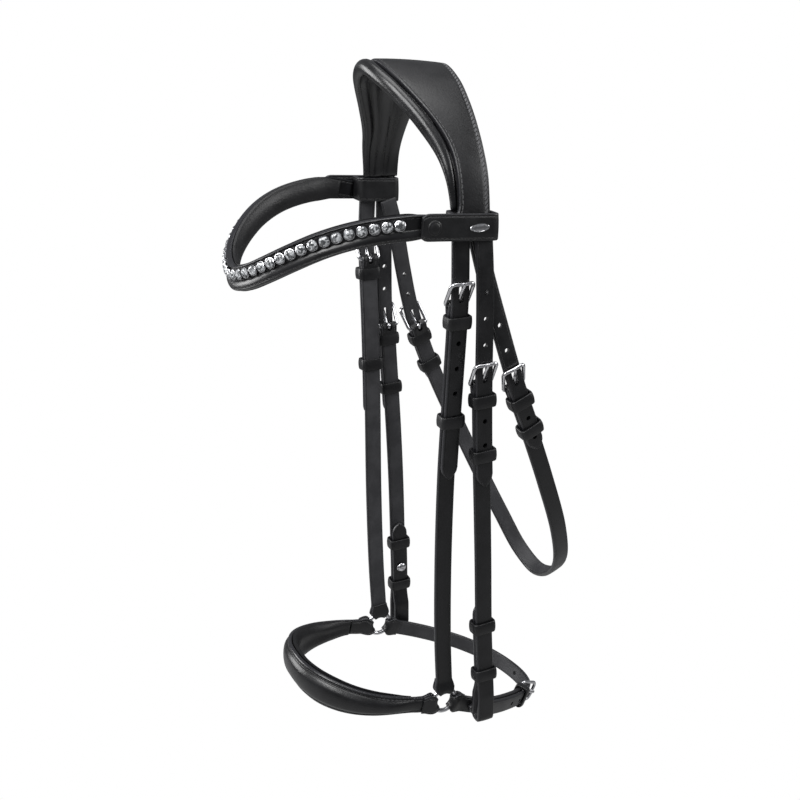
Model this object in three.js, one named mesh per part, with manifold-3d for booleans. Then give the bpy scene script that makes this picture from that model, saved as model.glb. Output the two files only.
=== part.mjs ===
// A snaffle bridle: padded headpiece with billets, browband with a row of crystals, drop noseband
// with chin strap, bit cheekpieces with folded bit loops, and a throatlash.
//
// Millimetres. +Z is up, the horse faces -Y, and the near (left) side is +X. The origin is the
// underside of the headpiece's padding at the poll, where the bridle rests on the horse.

import * as THREE from 'three';
import { mergeVertices } from 'three/addons/utils/BufferGeometryUtils.js';
import Module from 'manifold-3d';

// ---------------------------------------------------------------- driving dimensions

const HEAD_WIDTH = 133.6; // between the two ends of the headpiece
const CHEEK_DROP = 318; // from the ends of the headpiece down to the bit loops

const CLEARANCE = 0.35; // air between pieces that touch on the real bridle
const STRAP_WIDTH = 12; // cheekpieces, throatlash and chin strap
const STRAP_THICKNESS = 3.2;
const BILLET_WIDTH = STRAP_WIDTH - 0.5; // the punched ends that pass through the buckles
const HOLE_RADIUS = 1.6; // punched buckle holes
const HOLE_PITCH = 16.5; // from one punched hole to the next
const CHIN_HOLE_PITCH = 15;
const PADDING_GAP = 0.9; // between a band's leather and the padding stitched behind it
const KEEPER_WALL = 1.5;
const KEEPER_HEIGHT = 8;

const WIRE_RADIUS = 1.1; // buckle frames
const BUCKLE_LENGTH = 15; // along the strap, from the heel bar to the frame's upper bar
const CHAPE_WALL = 1.5; // leather folded round the buckle's bar
const TONGUE_WIDTH = 2.4;
const TONGUE_THICKNESS = 1.5;

const RING_RADIUS = 8.5; // noseband rings, to the middle of the wire
const RING_WIRE_RADIUS = 1.5;
const EYE_WALL = 1.5; // leather round the ring
const EYE_HALF_WIDTH = 3.4;

const CROWN_LEATHER = 3.4; // headpiece thicknesses
const CROWN_PADDING = 6;
const CROWN_FRONT = -17.5; // headpiece leather's front and rear edges at the poll
const CROWN_REAR = 30;
const CROWN_FOOT_FRONT = 1; // and where the billets are cut
const CROWN_FOOT_REAR = 26.5;
const CROWN_FOOT = -88; // height where the billets are cut
const CROWN_TILT = 0.085; // rise towards the front edge at the poll, per unit of width
const ROLL_RADIUS = 4.6; // the padding's rolled front edge

const BROWBAND_HEIGHT = 15;
const BROWBAND_LEATHER = 3;
const BROWBAND_PADDING = 4;
const LOOP_HEIGHT = 16; // browband loops round the headpiece
const LOOP_WALL = 2.1;
const LOOP_RISE = 0.075; // the loops and their tabs climb towards the front, per unit of length
const CRYSTAL_RADIUS = 3.15;
const CRYSTAL_PITCH = 7;
const CRYSTAL_HEIGHT = 2.6;
const CRYSTAL_OFFSET = 2.4; // of the row, above the browband's middle

const NOSEBAND_HEIGHT = 24; // at the front, tapering to the rings
const NOSEBAND_END_HEIGHT = 12;
const NOSEBAND_LEATHER = 3.4;
const NOSEBAND_PADDING = 5;

const BIT_LOOP_GAP = 4.8; // inside the folded bit loop, for the bit's ring
const BIT_LOOP_FLAT = 2; // flat at the bottom of that loop
const BIT_LOOP_LENGTH = 20;

// Derived sizes shared by several pieces.
const LAYER = STRAP_THICKNESS + 0.4; // from one strap's middle to the next one's, laid on it
const BAR_DEPTH = STRAP_THICKNESS / 2 + CHAPE_WALL + 2 * CLEARANCE + WIRE_RADIUS;
const FRAME_RISE = STRAP_THICKNESS / 2 + CLEARANCE + WIRE_RADIUS;
const CHAPE_RADIUS = WIRE_RADIUS + CLEARANCE + CHAPE_WALL;
const CHAPE_NECK = CHAPE_RADIUS + 2; // length of the fold's narrower part
const BILLET_TOP = CROWN_FOOT - 1.2;
const STRAP_SPACING = (STRAP_WIDTH + BILLET_WIDTH) / 2 + 2 * WIRE_RADIUS + CLEARANCE; // front to rear
const HANGER_Y = 6.8; // the noseband's billet, the foremost strap
const BIT_Y = HANGER_Y + STRAP_SPACING;
const THROAT_Y = BIT_Y + STRAP_SPACING;

// The routes' points are set out on a head of this size, and move in proportion on another.
const SET_OUT_WIDTH = 133.6;
const SET_OUT_DROP = 318;
const wide = (x) => (x * HEAD_WIDTH) / SET_OUT_WIDTH;
const deep = (z) => CROWN_FOOT + ((z - CROWN_FOOT) * CHEEK_DROP) / SET_OUT_DROP;
const RING_AT = [wide(55), 7.5, deep(-412)];

// ---------------------------------------------------------------- finishes

const finish = (color, roughness, metalness) =>
  new THREE.MeshStandardMaterial({ color, roughness, metalness });
const leather = finish(0x1b1b1d, 0.45, 0);
const padding = finish(0x222224, 0.5, 0);
const steel = finish(0xc9ccd0, 0.18, 1);
const crystal = finish(0xe8eef4, 0.05, 0.1);

// ---------------------------------------------------------------- solids

const wasm = await Module();
wasm.setup();

// A geometry's closed mesh as a solid that can be joined and cut.
function solidOf(geometry) {
  const bare = geometry.clone();
  bare.deleteAttribute('normal');
  bare.deleteAttribute('uv');
  const merged = mergeVertices(bare, 1e-4);
  const vertProperties = Float32Array.from(merged.attributes.position.array);
  const triVerts = Uint32Array.from(merged.index.array);
  return new wasm.Manifold(new wasm.Mesh({ numProp: 3, vertProperties, triVerts }));
}

function geometryOf(solid) {
  const mesh = solid.getMesh();
  const geometry = new THREE.BufferGeometry();
  geometry.setAttribute('position', new THREE.BufferAttribute(mesh.vertProperties, 3));
  geometry.setIndex(new THREE.BufferAttribute(mesh.triVerts, 1));
  return geometry;
}

const joined = (solids) => solids.reduce((whole, next) => whole.add(next));
const cut = (solid, cutters) => cutters.reduce((left, cutter) => left.subtract(cutter), solid);

const bridle = new THREE.Group();

function add(name, solid, material) {
  const mesh = new THREE.Mesh(geometryOf(solid), material);
  mesh.name = name;
  bridle.add(mesh);
}

// ---------------------------------------------------------------- routes and straps

// A strap's route: a smooth curve through its points, with the way its width faces.
function route(points, across) {
  const curve = new THREE.CatmullRomCurve3(points, false, 'centripetal');
  curve.arcLengthDivisions = 600;
  return { curve, across, length: curve.getLength() };
}

// Place and directions at a distance along a route: across the strap, out of its face, along it.
function stand(way, distance) {
  const share = THREE.MathUtils.clamp(distance / way.length, 0, 1);
  const at = way.curve.getPointAt(share);
  const along = way.curve.getTangentAt(share);
  const across = way.across.clone().addScaledVector(along, -way.across.dot(along)).normalize();
  const out = new THREE.Vector3().crossVectors(along, across);
  return { at, across, out, along };
}

// Distance along a route at which it comes closest to a height.
function distanceAtHeight(way, height, from = 0, to = way.length) {
  let best = from;
  const steps = 800;
  for (let i = 0; i <= steps; i++) {
    const distance = from + ((to - from) * i) / steps;
    const gap = Math.abs(stand(way, distance).at.z - height);
    if (gap < Math.abs(stand(way, best).at.z - height)) best = distance;
  }
  return best;
}

// Even stations between two distances, no further apart than the spacing.
function stations(from, to, spacing) {
  const count = Math.max(1, Math.ceil((to - from) / spacing));
  return Array.from({ length: count + 1 }, (_, i) => from + ((to - from) * i) / count);
}

// An outline carried along a route. Its x runs from -1 to 1 between the strap's edges, its y is in
// millimetres out of the strap's face. edges(distance) gives the two edges, across the route.
function swept(way, places, outline, edges, raise = 0) {
  const steps = places.length - 1;
  const geometry = new THREE.ExtrudeGeometry(outline, { depth: steps, steps, bevelEnabled: false });
  const position = geometry.attributes.position;
  const frames = places.map((distance) => ({ ...stand(way, distance), edge: edges(distance) }));
  const point = new THREE.Vector3();
  for (let i = 0; i < position.count; i++) {
    const frame = frames[Math.round(position.getZ(i))];
    const [low, high] = frame.edge;
    const sideways = (low + high) / 2 + (position.getX(i) * (high - low)) / 2;
    point.copy(frame.at).addScaledVector(frame.across, sideways);
    point.addScaledVector(frame.out, position.getY(i) + raise);
    position.setXYZ(i, point.x, point.y, point.z);
  }
  return solidOf(geometry);
}

// A flat section, a strap thickness deep, with its corners left square.
function flatOutline(thickness) {
  const half = thickness / 2;
  return new THREE.Shape([
    new THREE.Vector2(-1, -half), new THREE.Vector2(1, -half),
    new THREE.Vector2(1, half), new THREE.Vector2(-1, half),
  ]);
}

// A crowned section: flat on the side away from the horse, rounded towards it.
function paddedOutline(thickness) {
  const points = [new THREE.Vector2(1, 0), new THREE.Vector2(-1, 0)];
  const sides = 6;
  for (let i = 1; i < sides; i++) {
    const angle = Math.PI - (Math.PI * i) / sides;
    points.push(new THREE.Vector2(Math.cos(angle), -thickness * Math.sin(angle) ** 0.6));
  }
  return new THREE.Shape(points.reverse());
}

const evenEdges = (width) => () => [-width / 2, width / 2];

// Edges of a strap that is a little narrower between the sides of the buckle where it starts.
function chapeEdges(from) {
  return (distance) => {
    const half = (distance - from < CHAPE_NECK ? BILLET_WIDTH : STRAP_WIDTH) / 2;
    return [-half, half];
  };
}

// Edges that narrow to a rounded point over the last stretch before the tip.
function tippedEdges(width, tipAt) {
  return (distance) => {
    const left = THREE.MathUtils.clamp((tipAt - distance) / (width * 0.6), 0, 1);
    const half = (width / 2) * Math.max(0.25, Math.sin((left * Math.PI) / 2) ** 0.8);
    return [-half, half];
  };
}

// A strap laid under its billet, from the buckle that it carries to its far end.
function underStrap(way, from, to, spacing = 14) {
  const places = [from, from + CHAPE_NECK - 1, ...stations(from + CHAPE_NECK, to, spacing)];
  return swept(way, places, flatOutline(STRAP_THICKNESS), chapeEdges(from), -LAYER);
}

// A strap that ends in a rounded point.
function tippedStrap(way, from, to, width, spacing = 14) {
  const places = [...stations(from, to - width * 0.6, spacing), to - width * 0.3, to];
  return swept(way, places, flatOutline(STRAP_THICKNESS), tippedEdges(width, to));
}

// A geometry made around the origin, set down at a distance along a route.
function placed(geometry, way, distance, raise = 0) {
  const { at, across, out, along } = stand(way, distance);
  const matrix = new THREE.Matrix4().makeBasis(across, out, along);
  matrix.setPosition(at.clone().addScaledVector(out, raise));
  return solidOf(geometry.clone().applyMatrix4(matrix));
}

const box = (x, y, z, atX = 0, atY = 0, atZ = 0) =>
  new THREE.BoxGeometry(x, y, z).translate(atX, atY, atZ);

// A round bar or cutter lying across the strap.
const crossBar = (radius, length, sides = 10) =>
  new THREE.CylinderGeometry(radius, radius, length, sides).rotateZ(Math.PI / 2);

// Punched holes at given distances along a strap.
function punched(solid, way, distances) {
  const drill = new THREE.CylinderGeometry(HOLE_RADIUS, HOLE_RADIUS, 3 * STRAP_THICKNESS, 6);
  return cut(solid, distances.map((distance) => placed(drill, way, distance)));
}

// ---------------------------------------------------------------- buckles and keepers

// The frame leans from its heel bar, under the billet, to its upper bar, over the billet.
const FRAME_LEAN = Math.atan2(BAR_DEPTH + FRAME_RISE, BUCKLE_LENGTH);
const FRAME_LENGTH = Math.hypot(BAR_DEPTH + FRAME_RISE, BUCKLE_LENGTH);

// The closed tongue rests on the upper bar.
const TONGUE_ANGLE = FRAME_LEAN
  + Math.asin((WIRE_RADIUS + CLEARANCE + TONGUE_THICKNESS / 2) / FRAME_LENGTH);
const TONGUE_LENGTH = FRAME_LENGTH + 2;
const TONGUE_CROSSING = -BAR_DEPTH / Math.tan(TONGUE_ANGLE); // where it passes through the billet
const FIRST_HOLE = -10; // from the heel bar to the hole in use

// A frame of round wire. Its heel bar is the end that the strap is folded round.
function buckleFrame(way, distance, width) {
  const halfWidth = width / 2 + CLEARANCE + WIRE_RADIUS;
  const set = (geometry) => placed(geometry.rotateX(FRAME_LEAN), way, distance, -BAR_DEPTH);
  const bars = [0, -FRAME_LENGTH].map((along) =>
    set(crossBar(WIRE_RADIUS, 2 * halfWidth + WIRE_RADIUS, 8).translate(0, 0, along)));
  const sides = [-halfWidth, halfWidth].map((x) =>
    set(box(2 * WIRE_RADIUS, 2 * WIRE_RADIUS, FRAME_LENGTH, x, 0, -FRAME_LENGTH / 2)));
  return joined([...bars, ...sides]);
}

// A tongue looped round the bar. Its blade leans on the frame's upper bar, towards -along.
function buckleTongue(way, distance) {
  const loopRadius = WIRE_RADIUS + 0.25 + 1;
  const blade = box(TONGUE_WIDTH, TONGUE_THICKNESS, TONGUE_LENGTH, 0, 0, -TONGUE_LENGTH / 2)
    .rotateX(TONGUE_ANGLE);
  const tongue = placed(blade, way, distance, -BAR_DEPTH)
    .add(placed(crossBar(loopRadius, TONGUE_WIDTH, 10), way, distance, -BAR_DEPTH));
  return tongue.subtract(placed(crossBar(WIRE_RADIUS + 0.25, STRAP_WIDTH, 8), way, distance, -BAR_DEPTH));
}

// The slot that a billet needs where the tongue passes through it.
const tongueSlot = (way, distance) =>
  placed(box(TONGUE_WIDTH + 1.2, 2 * STRAP_THICKNESS, -1.8 * TONGUE_CROSSING, 0, 0, TONGUE_CROSSING),
    way, distance);

// The end of a strap, folded round a buckle's bar, with a slot for the tongue. The strap's own
// solid starts at the bar.
function chape(solid, way, distance) {
  const fold = placed(crossBar(CHAPE_RADIUS, BILLET_WIDTH, 10), way, distance, -BAR_DEPTH);
  const bore = placed(crossBar(WIRE_RADIUS + CLEARANCE, 2 * STRAP_WIDTH, 8), way, distance, -BAR_DEPTH);
  const slot = placed(
    box(TONGUE_WIDTH + 1.2, 3 * CHAPE_RADIUS, 2 * CHAPE_RADIUS + 1.6, 0, 0, -0.6), way, distance, -BAR_DEPTH);
  return cut(solid.add(fold), [bore, slot]);
}

// A leather loop round straps stacked from one height to another.
function keeper(way, distance, width, low, high) {
  const halfWidth = width / 2 + CLEARANCE + 0.2;
  const bottom = low - CLEARANCE;
  const top = high + CLEARANCE;
  const round = 1.2;
  const outline = new THREE.Shape();
  const wall = KEEPER_WALL;
  outline.moveTo(-halfWidth - wall + round, bottom - wall);
  outline.lineTo(halfWidth + wall - round, bottom - wall);
  outline.lineTo(halfWidth + wall, bottom - wall + round);
  outline.lineTo(halfWidth + wall, top + wall - round);
  outline.lineTo(halfWidth + wall - round, top + wall);
  outline.lineTo(-halfWidth - wall + round, top + wall);
  outline.lineTo(-halfWidth - wall, top + wall - round);
  outline.lineTo(-halfWidth - wall, bottom - wall + round);
  outline.holes.push(new THREE.Path([
    new THREE.Vector2(-halfWidth, bottom), new THREE.Vector2(-halfWidth, top),
    new THREE.Vector2(halfWidth, top), new THREE.Vector2(halfWidth, bottom),
  ]));
  const geometry = new THREE.ExtrudeGeometry(outline, { depth: KEEPER_HEIGHT, bevelEnabled: false });
  return placed(geometry.translate(0, 0, -KEEPER_HEIGHT / 2), way, distance);
}

const UNDER_FACE = -LAYER - STRAP_THICKNESS / 2; // lowest face of two straps, one on the other
const OVER_FACE = STRAP_THICKNESS / 2;

const pairKeeper = (way, distance) => keeper(way, distance, STRAP_WIDTH, UNDER_FACE, OVER_FACE);

// ---------------------------------------------------------------- rings and their leather eyes

const ringCentre = (side) => new THREE.Vector3(side * RING_AT[0], RING_AT[1], RING_AT[2]);

// A round ring of wire, facing sideways.
function ringSolid(side, wireRadius, sides) {
  const profile = [];
  for (let i = 0; i <= sides; i++) {
    const angle = (2 * Math.PI * i) / sides;
    profile.push(new THREE.Vector2(RING_RADIUS + wireRadius * Math.cos(angle), wireRadius * Math.sin(angle)));
  }
  const geometry = new THREE.LatheGeometry(profile, 24).rotateZ(-Math.PI / 2);
  const centre = ringCentre(side);
  return solidOf(geometry.translate(centre.x, centre.y, centre.z));
}

const EYE_INNER = RING_RADIUS - RING_WIRE_RADIUS - CLEARANCE - EYE_WALL;
const EYE_OUTER = RING_RADIUS + RING_WIRE_RADIUS + CLEARANCE + EYE_WALL + 1;
const EYE_DEPTH = 2 * (RING_WIRE_RADIUS + CLEARANCE + EYE_WALL);

// The leather folded round a ring's wire, towards an angle up from the rear, before its cut.
function eyeBlock(side, angle) {
  const length = EYE_OUTER - EYE_INNER;
  const block = box(EYE_DEPTH, length, 2 * EYE_HALF_WIDTH, 0, (EYE_OUTER + EYE_INNER) / 2, 0).rotateX(angle);
  const centre = ringCentre(side);
  return solidOf(block.translate(centre.x, centre.y, centre.z));
}

const ringCutter = (side) => ringSolid(side, RING_WIRE_RADIUS + CLEARANCE, 8);

// A point out from a ring's centre, at an angle up from the rear.
function fromRing(side, angle, distance) {
  const reach = new THREE.Vector3(0, Math.cos(angle) * distance, Math.sin(angle) * distance);
  return reach.add(ringCentre(side));
}

// ---------------------------------------------------------------- headpiece

const CROWN_TOP = CROWN_PADDING + CLEARANCE + CROWN_LEATHER / 2; // middle of the leather at the poll

// Over the poll and down both sides, from the far side to the near side.
const crownHalf = [[0, CROWN_TOP], [20, 0.8], [34, -10], [46, -22.5], [56.5, -37], [63, -50], [66, -65],
  [66.8, -77], [66.8, CROWN_FOOT]].map(([x, z]) => [wide(x), z]);
const crownPoints = [...crownHalf.slice(1).reverse().map(([x, z]) => [-x, z]), ...crownHalf];
const crownRoute = route(crownPoints.map(([x, z]) => new THREE.Vector3(x, 0, z)),
  new THREE.Vector3(0, 1, -CROWN_TILT));
const fromPoll = (distance) => Math.abs(distance - crownRoute.length / 2);
const ease = (value, low, high) => THREE.MathUtils.smoothstep(value, low, high);

function crownFrontEdge(distance) {
  const reach = fromPoll(distance);
  const waist = 6.5; // where the front edge has come back furthest, above the browband
  const swell = CROWN_FRONT + (waist - CROWN_FRONT) * ease(reach, 0, 82);
  return swell + (CROWN_FOOT_FRONT - waist) * ease(reach, 106, 122); // inside the browband loop
}

const crownRearEdge = (distance) =>
  CROWN_REAR + (CROWN_FOOT_REAR - CROWN_REAR) * ease(fromPoll(distance), 0, 110);

const crownPlaces = stations(0, crownRoute.length, 9);

function headpieceLeather() {
  const edges = (distance) => [crownFrontEdge(distance), crownRearEdge(distance)];
  return swept(crownRoute, crownPlaces, flatOutline(CROWN_LEATHER), edges);
}

// The padding under the leather, with a roll along its front edge.
function headpiecePadding() {
  const places = crownPlaces.slice(3, -3); // the padding ends above the browband loops
  const raise = -(CROWN_LEATHER / 2 + CLEARANCE);
  const rollAt = (distance) => crownFrontEdge(distance) - CLEARANCE - ROLL_RADIUS;
  const slabEdges = (distance) => [rollAt(distance), crownRearEdge(distance) + 1];
  const slab = swept(crownRoute, places, paddedOutline(CROWN_PADDING), slabEdges, raise);
  const circle = new THREE.Shape();
  const sides = 8;
  for (let i = 0; i < sides; i++) {
    const angle = (2 * Math.PI * i) / sides;
    const corner = [Math.cos(angle), ROLL_RADIUS * Math.sin(angle)];
    if (i === 0) circle.moveTo(...corner);
    else circle.lineTo(...corner);
  }
  const rollEdges = (distance) => [rollAt(distance) - ROLL_RADIUS, rollAt(distance) + ROLL_RADIUS];
  const roll = swept(crownRoute, places, circle, rollEdges, raise - CROWN_PADDING + ROLL_RADIUS);
  return slab.add(roll);
}

add('headpiece_leather', headpieceLeather(), leather);
add('headpiece_padding', headpiecePadding(), padding);

// ---------------------------------------------------------------- browband

// Round the forehead from the near side to the far side, dipping at the front.
const browHalf = [[71.6, -4, -80.5], [72.2, -16, -77.5], [72, -29, -76.5], [68.5, -44.6, -77.6],
  [62.8, -60.5, -80.6], [54.8, -75.6, -86], [43.7, -89.7, -94], [30.6, -100.6, -102.3],
  [16.5, -107.3, -109], [0, -110, -112.5]].map(([x, y, z]) => [wide(x), y, z]);
const browPoints = [...browHalf, ...browHalf.slice(0, -1).reverse().map(([x, y, z]) => [-x, y, z])];
const browRoute = route(browPoints.map((point) => new THREE.Vector3(...point)), new THREE.Vector3(0, 0, 1));
const BROW_OUT = BROWBAND_LEATHER / 2;
const BROW_FACE = -1; // this route's face points at the horse, so outwards is negative

const browPlaces = stations(0, browRoute.length, 9);

function browbandLeather() {
  return swept(browRoute, browPlaces, flatOutline(BROWBAND_LEATHER), evenEdges(BROWBAND_HEIGHT));
}

function browbandPadding() {
  const places = browPlaces.slice(2, -2);
  const outline = new THREE.Shape(
    paddedOutline(BROWBAND_PADDING).getPoints().map((point) => new THREE.Vector2(-point.x, -point.y)));
  return swept(browRoute, places, outline, evenEdges(BROWBAND_HEIGHT + 1), BROW_OUT + PADDING_GAP);
}

// The crystals in their cups, on one chain along the middle of the browband.
function browbandCrystals() {
  const count = 2 * Math.floor((browRoute.length / 2 - 27) / CRYSTAL_PITCH) + 1;
  const span = (count - 1) * CRYSTAL_PITCH;
  const start = (browRoute.length - span) / 2;
  const raise = BROW_FACE * (BROW_OUT + CLEARANCE);
  const tape = 0.8;
  const places = stations(start - 2, start + span + 2, CRYSTAL_PITCH);
  const edges = () => [CRYSTAL_OFFSET - 1.2, CRYSTAL_OFFSET + 1.2];
  const chain = swept(browRoute, places, flatOutline(tape), edges, raise + (BROW_FACE * tape) / 2);
  const stone = new THREE.CylinderGeometry(CRYSTAL_RADIUS, CRYSTAL_RADIUS * 0.62, CRYSTAL_HEIGHT, 6)
    .rotateX(Math.PI).translate(CRYSTAL_OFFSET, 0, 0);
  const stones = Array.from({ length: count }, (_, i) =>
    placed(stone, browRoute, start + i * CRYSTAL_PITCH, raise + (BROW_FACE * (CRYSTAL_HEIGHT + 0.3)) / 2));
  return joined([chain, ...stones]);
}

// Room that a browband loop leaves round the headpiece: along x, then along y.
const LOOP_ROOM = [crownHalf.at(-1)[0] - CROWN_LEATHER / 2 - 1, crownHalf.at(-1)[0] + CROWN_LEATHER / 2 + 1];
const LOOP_TAB_X = browHalf[1][0] + BROW_OUT + CLEARANCE;

// A loop round the headpiece, with a tab that laps over the browband's end.
function browbandLoop(side) {
  const outline = new THREE.Shape();
  const tabTip = -22;
  const front = CROWN_FOOT_FRONT - CLEARANCE - LOOP_WALL;
  const rear = CROWN_FOOT_REAR + CLEARANCE + LOOP_WALL;
  outline.moveTo(LOOP_ROOM[0] - LOOP_WALL, front + 2);
  outline.lineTo(LOOP_ROOM[0] - LOOP_WALL + 2, front);
  outline.lineTo(LOOP_TAB_X, front);
  outline.lineTo(LOOP_TAB_X, tabTip);
  outline.lineTo(LOOP_TAB_X + LOOP_WALL, tabTip);
  outline.lineTo(LOOP_TAB_X + LOOP_WALL, rear - 2);
  outline.lineTo(LOOP_TAB_X + LOOP_WALL - 2, rear);
  outline.lineTo(LOOP_ROOM[0] - LOOP_WALL, rear);
  outline.holes.push(new THREE.Path([
    new THREE.Vector2(LOOP_ROOM[0], CROWN_FOOT_FRONT - CLEARANCE),
    new THREE.Vector2(LOOP_ROOM[1], CROWN_FOOT_FRONT - CLEARANCE),
    new THREE.Vector2(LOOP_ROOM[1], CROWN_FOOT_REAR + CLEARANCE),
    new THREE.Vector2(LOOP_ROOM[0], CROWN_FOOT_REAR + CLEARANCE),
  ]));
  const geometry = new THREE.ExtrudeGeometry(outline, { depth: LOOP_HEIGHT, bevelEnabled: false });
  const climb = new THREE.Matrix4().makeShear(0, 0, 0, -LOOP_RISE, 0, 0);
  const solid = solidOf(geometry.translate(0, -rear, CROWN_FOOT).applyMatrix4(climb).translate(0, rear, 0));
  return side > 0 ? solid : solid.mirror([1, 0, 0]);
}

// A round snap head, or the oval badge, standing on a loop's outer face.
function trimOnLoop(side, y, length, height, rise) {
  const button = new THREE.CylinderGeometry(0.5, 0.5, rise, 16).rotateZ(Math.PI / 2).scale(1, length, height);
  const x = side * (LOOP_TAB_X + LOOP_WALL + CLEARANCE + rise / 2);
  const climb = LOOP_RISE * (CROWN_FOOT_REAR - y);
  return solidOf(button.translate(x, y, CROWN_FOOT + LOOP_HEIGHT / 2 + climb));
}

add('browband_leather', browbandLeather(), leather);
add('browband_padding', browbandPadding(), padding);
add('browband_crystals', browbandCrystals(), crystal);
for (const [name, side] of [['near', 1], ['far', -1]]) {
  add(`${name}_browband_loop`, browbandLoop(side), leather);
  add(`${name}_browband_snap`, trimOnLoop(side, -14, 9, 9, 1.2), leather);
}
add('near_browband_badge', trimOnLoop(1, 15, 13, 5, 0.9), steel);

// ---------------------------------------------------------------- noseband cheeks and rings

const onHead = ([x, y, z]) => [wide(x), y, deep(z)];
const facing = (side) => new THREE.Vector3(0, side, 0);
const sidePoints = (side, points) => points.map(([x, y, z]) => new THREE.Vector3(side * x, y, z));

// From the headpiece down to the ring. The line is the middle of the billet.
const nosebandLine = [
  ...[[68.5, 6.8, BILLET_TOP], [69.5, 6.5, -104], [69.8, 6.4, -118], [68.6, 6.3, -140],
    [66, 6.1, -170], [63.5, 5.6, -205], [61.5, 5, -240], [60, 4.6, -300], [59, 5.6, -360]].map(onHead),
  [RING_AT[0] + LAYER, RING_AT[1], RING_AT[2] + EYE_OUTER - 1],
];
const NOSEBAND_BUCKLE = deep(-127); // heights of what sits on the line
const NOSEBAND_FIXED_KEEPER = NOSEBAND_BUCKLE - 10;
const NOSEBAND_LOOSE_KEEPER = deep(-202);
const NOSEBAND_TIP = deep(-242);

const UPWARDS = Math.PI / 2;

function nosebandCheek(name, side) {
  const line = route(sidePoints(side, nosebandLine), facing(side));
  const buckleAt = distanceAtHeight(line, NOSEBAND_BUCKLE);
  const tipAt = distanceAtHeight(line, NOSEBAND_TIP);
  const billet = tippedStrap(line, 0, tipAt, BILLET_WIDTH);
  const holes = [2, 3, 4, 5].map((step) => buckleAt + FIRST_HOLE + step * HOLE_PITCH);
  add(`${name}_noseband_billet`, punched(billet.subtract(tongueSlot(line, buckleAt)), line, holes), leather);

  const plain = underStrap(line, buckleAt, line.length).add(eyeBlock(side, UPWARDS));
  const folded = chape(plain, line, buckleAt);
  add(`${name}_noseband_cheek`, folded.subtract(ringCutter(side)), leather);
  add(`${name}_noseband_buckle`, buckleFrame(line, buckleAt, STRAP_WIDTH), steel);
  add(`${name}_noseband_tongue`, buckleTongue(line, buckleAt), steel);
  add(`${name}_noseband_keeper`, pairKeeper(line, distanceAtHeight(line, NOSEBAND_FIXED_KEEPER)), leather);
  add(`${name}_noseband_slider`, pairKeeper(line, distanceAtHeight(line, NOSEBAND_LOOSE_KEEPER)), leather);
  add(`${name}_ring`, ringSolid(side, RING_WIRE_RADIUS, 8), steel);
}

nosebandCheek('near', 1);
nosebandCheek('far', -1);

// ---------------------------------------------------------------- noseband front

const FORWARDS = Math.PI;

// Round the nose from the near ring to the far ring.
const noseHalf = [
  fromRing(1, FORWARDS, EYE_OUTER - 1),
  ...[[54.6, -22, 4], [50.2, -44, 8], [41.5, -60, 11.5], [28, -73, 15.5], [13, -79.4, 18], [0, -80.8, 19]]
    .map(([x, y, rise]) => new THREE.Vector3(wide(x), y, RING_AT[2] + rise)),
];
const mirrored = (point) => new THREE.Vector3(-point.x, point.y, point.z);
const nosePoints = [...noseHalf, ...noseHalf.slice(0, -1).reverse().map(mirrored)];
const noseRoute = route(nosePoints, new THREE.Vector3(0, 0, 1));

function noseEdges(extra) {
  return (distance) => {
    const reach = Math.abs(distance - noseRoute.length / 2);
    const share = ease(noseRoute.length / 2 - reach, 8, 85);
    const half = (NOSEBAND_END_HEIGHT + (NOSEBAND_HEIGHT - NOSEBAND_END_HEIGHT) * share + extra) / 2;
    const neck = ease(noseRoute.length / 2 - reach, -2, 9);
    const eased = EYE_HALF_WIDTH + (half - EYE_HALF_WIDTH) * neck;
    return [-eased, eased];
  };
}

const nosePlaces = stations(8, noseRoute.length - 8, 9);

function nosebandLeather() {
  const places = [0, 4, ...nosePlaces, noseRoute.length - 4, noseRoute.length];
  const band = swept(noseRoute, places, flatOutline(NOSEBAND_LEATHER), noseEdges(0));
  const eyes = [1, -1].map((side) => eyeBlock(side, FORWARDS));
  return cut(joined([band, ...eyes]), [ringCutter(1), ringCutter(-1)]);
}

function nosebandPadding() {
  const places = nosePlaces.slice(1, -1);
  const outline = new THREE.Shape(
    paddedOutline(NOSEBAND_PADDING).getPoints().map((point) => new THREE.Vector2(-point.x, -point.y)));
  return swept(noseRoute, places, outline, noseEdges(1.5), NOSEBAND_LEATHER / 2 + PADDING_GAP);
}

add('noseband_leather', nosebandLeather(), leather);
add('noseband_padding', nosebandPadding(), padding);

// ---------------------------------------------------------------- chin strap

const CHIN_SLOPE = THREE.MathUtils.degToRad(-27); // rearwards and down from the rings
const chinAcross = new THREE.Vector3(0, Math.sin(-CHIN_SLOPE), Math.cos(CHIN_SLOPE));

// A point in the chin strap's plane: sideways, and back along the slope from the rings.
function chinPoint(x, back) {
  const reach = back * Math.cos(CHIN_SLOPE);
  return new THREE.Vector3(x, RING_AT[1] + reach, RING_AT[2] + back * Math.sin(CHIN_SLOPE));
}

// From the far ring round the jaw to the near side. The near end's middle is the long strap's.
const chinOutline = [
  [-RING_AT[0], EYE_OUTER - 1],
  ...[[-57.2, 25], [-58.6, 44], [-58, 62], [-54.5, 82], [-45, 101], [-31, 112], [-14, 116], [2, 112],
    [15, 102], [27, 88], [38, 71], [48, 53], [55.5, 36], [58.2, 20]].map(([x, back]) => [wide(x), back]),
  [RING_AT[0] + LAYER, EYE_OUTER - 1],
];
const chinRoute = route(chinOutline.map(([x, back]) => chinPoint(x, back)), chinAcross);
const CHIN_BUCKLE_FROM_NEAR = 100; // from the near ring's eye, along the strap
const CHIN_TIP_FROM_RING = 9;
const CHIN_KEEPER = 9; // past the buckle's heel bar

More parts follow.
